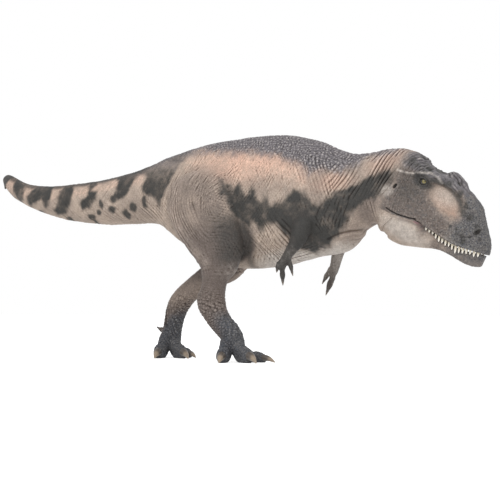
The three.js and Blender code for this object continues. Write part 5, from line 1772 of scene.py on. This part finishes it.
def gum_strip(name, start, last, half_at, height_at, half_high):
    """A strip of gum that runs forwards, round the front of the mouth and back."""
    rows = [(along, half_at(along) - gum_width / 2, height_at(along))
            for along in np.linspace(start, last, gum_steps)]
    path = [in_head(along, -out, up) for along, out, up in rows]
    along, out, up = rows[-1]
    path += [in_head(along + gum_front[0], side * out * gum_front[1], up) for side in (-1, 1)]
    path += [in_head(along, out, up) for along, out, up in reversed(rows)]
    gum = loft(name, path, [(gum_width / 2, half_high, half_high)] * len(path),
               square_to, around=16, between=3, powers=(3, 3))
    store(gum, "tip", ramp(noise(points_of(gum), 1.5, 90), -0.5, 0.8))
    return gum


def upper_gum_half(along):
    return upper_lip_half(along) - seam_gap


def lower_gum_half(along):
    return lower_lip_half(along) - seam_gap


inside_gum = gum_width + seam_gap


def palate_half(along):
    return upper_gum_half(along) - inside_gum


def tongue_half(along):
    """Half width of the tongue, which narrows towards its end."""
    return (lower_gum_half(along) - inside_gum) * (1 - 0.35 * ramp(along, 0.7, tongue_end_share))


def make_mouth(materials):
    gap = seam_gap / skull_length
    start, upper_end = gum_start_share + gap, gum_end_share - gap
    tooth_row("upper", upper_end, upper_gum_half, materials)
    tooth_row("lower", lower_gum_end_share - gap, lower_gum_half, materials)
    roof, floor, thick = (mouth_share[name] for name in ("roof", "floor", "tongue"))
    palate = mouth_bar("palate_skin", start, upper_end - inside_gum / skull_length, palate_half,
                       lip_line(1, roof / 2), lip_line(1, roof - gap), power=4, steps=20)
    tongue = mouth_bar("tongue_skin", start, tongue_end_share, tongue_half,
                       lip_line(2, gap - floor), lip_line(2, thick - floor), power=2.5, steps=16)
    for piece, body, node in ((palate, "figure", "palate"), (tongue, "jaw", "tongue")):
        apply(piece, "SUBSURF", levels=1, render_levels=1)
        store(piece, "tip", ramp(noise(points_of(piece), 2.5, 91), -0.6, 0.9))
        finish_piece(piece, materials["mouth"], body, "mouth_vinyl", node, smooth=60.0)


gaze_ahead = 0.42  # how far each pupil is turned to the front
gaze_up = 0.02


def make_eye(side, materials):
    """A bead, where each point keeps its angle from the middle of the pupil."""
    low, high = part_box(side + "_eye")
    middle = np.array((low + high) / 2) / MM - home
    bpy.ops.mesh.primitive_uv_sphere_add(segments=48, ring_count=24, radius=eye_radius, location=middle)
    eye = bpy.context.object
    eye.name = eye.data.name = side + "_eyeball"
    bpy.ops.object.transform_apply(location=True)
    look = unit(np.array([gaze_ahead, side_of[side], gaze_up]))
    away = (points_of(eye) - middle) / eye_radius
    store(eye, "gaze", np.arccos(np.clip(away @ look, -1, 1)))
    finish_piece(eye, materials["eye"], "figure", "eye_plastic", side + "_eye", smooth=60.0)


# Studio: lamps by place and size in metres and power in watts.
lamps = [
    ((0.1, -0.6, 0.9), 0.7, 4.2),
    ((0.5, 0.5, 0.9), 0.7, 1.6),
    ((0.4, -0.75, 0.14), 0.7, 1.5),
]
lamp_aim = (0, 0, 0.08)
table_size = 6.0
table_glow = 0.6
sky_light = 0.78
sky_seen = 0.22  # how much brighter the sky looks than the light it gives
white = (1, 1, 1, 1)
paper_grey = (0.8, 0.8, 0.8, 1)


def seen_by_camera(tree):
    """1 on what the camera sees straight, or in or through a shiny surface."""
    ray = add(tree, "LightPath", {}).node.outputs
    seen = add(tree, "Math", {0: ray["Is Camera Ray"], 1: ray["Is Glossy Ray"]}, **larger)
    return add(tree, "Math", {0: seen, 1: ray["Is Transmission Ray"]}, **larger)


def make_table():
    """A matt white table that glows where it is seen, so that it shows no grey edge."""
    material, tree = new_material("matt_white_table")
    glow = add(tree, "Math", {0: seen_by_camera(tree), 1: table_glow}, **times)
    light = add(tree, "Emission", {"Color": white, "Strength": glow})
    paper = add(tree, "BsdfDiffuse", {"Color": paper_grey})
    add(tree, "OutputMaterial", {"Surface": add(tree, "AddShader", {0: light, 1: paper})})
    bpy.ops.mesh.primitive_plane_add(size=table_size, location=(0, 0, 0))
    table = bpy.context.object
    table.name = "table_top"
    table.data.materials.append(material)


def make_studio():
    """A pale table and soft light from above, brighter behind the camera."""
    make_table()
    world = bpy.context.scene.world or bpy.data.worlds.new("studio")
    bpy.context.scene.world = world
    world.use_nodes = True
    tree = world.node_tree
    tree.nodes.clear()
    strength = add(tree, "Math", {0: seen_by_camera(tree), 1: sky_seen, 2: sky_light}, **times_plus)
    sky = add(tree, "Background", {"Color": white, "Strength": strength})
    add(tree, "OutputWorld", {"Surface": sky})
    for place, size, power in lamps:
        bpy.ops.object.light_add(type="AREA", location=place)
        lamp = bpy.context.object
        lamp.data.size = size
        lamp.data.energy = power
        away = Vector(lamp_aim) - Vector(place)
        lamp.rotation_euler = away.to_track_quat("-Z", "Y").to_euler()


set_camera()
bpy.ops.object.select_all(action="DESELECT")
materials = {
    "flank": painted_vinyl("sprayed_soft_vinyl_flank", scale_mm=1.3, grooves=0.3),
    "tail": painted_vinyl("sprayed_soft_vinyl_tail", scale_mm=1.3, grooves=0.3),
    "leg": painted_vinyl("sprayed_soft_vinyl_leg", scale_mm=1.4, grooves=0.35),
    "arm": painted_vinyl("sprayed_soft_vinyl_arm", scale_mm=1.0, grooves=0.35),
    "foot": painted_vinyl("washed_soft_vinyl_foot", scale_mm=1.3, grooves=0.45),
    "head": painted_vinyl("sprayed_soft_vinyl_head", scale_mm=1.3, grooves=0.3),
    "jaw": painted_vinyl("sprayed_soft_vinyl_jaw", scale_mm=1.2, grooves=0.2),
    "claw": satin("satin_painted_vinyl_claw", claw_paints, roughness=0.42, grain_mm=0.8),
    "talon": satin("satin_painted_vinyl_talon", talon_paints, roughness=0.42, grain_mm=0.8),
    "tooth": satin("satin_ivory_acrylic_tooth", tooth_paints, roughness=0.35, grain_mm=0.7),
    "mouth": satin("gloss_painted_vinyl_mouth", mouth_paints, roughness=0.35, grain_mm=1.2),
    "eye": eye_enamel(),
}
cut_body(sculpt_body(), materials)
cut_head(sculpt_head(), materials)
for side in side_of:
    make_foot(side, materials)
    make_hand_claws(side, materials)
    make_eye(side, materials)
make_mouth(materials)
steel = turned_steel()
for node in ("balance_weight", "jaw_hinge_pin"):
    part = frame["nodes"][node]
    part.data.materials.clear()
    part.data.materials.append(steel)
make_studio()
bpy.context.scene.view_settings.view_transform = "Standard"
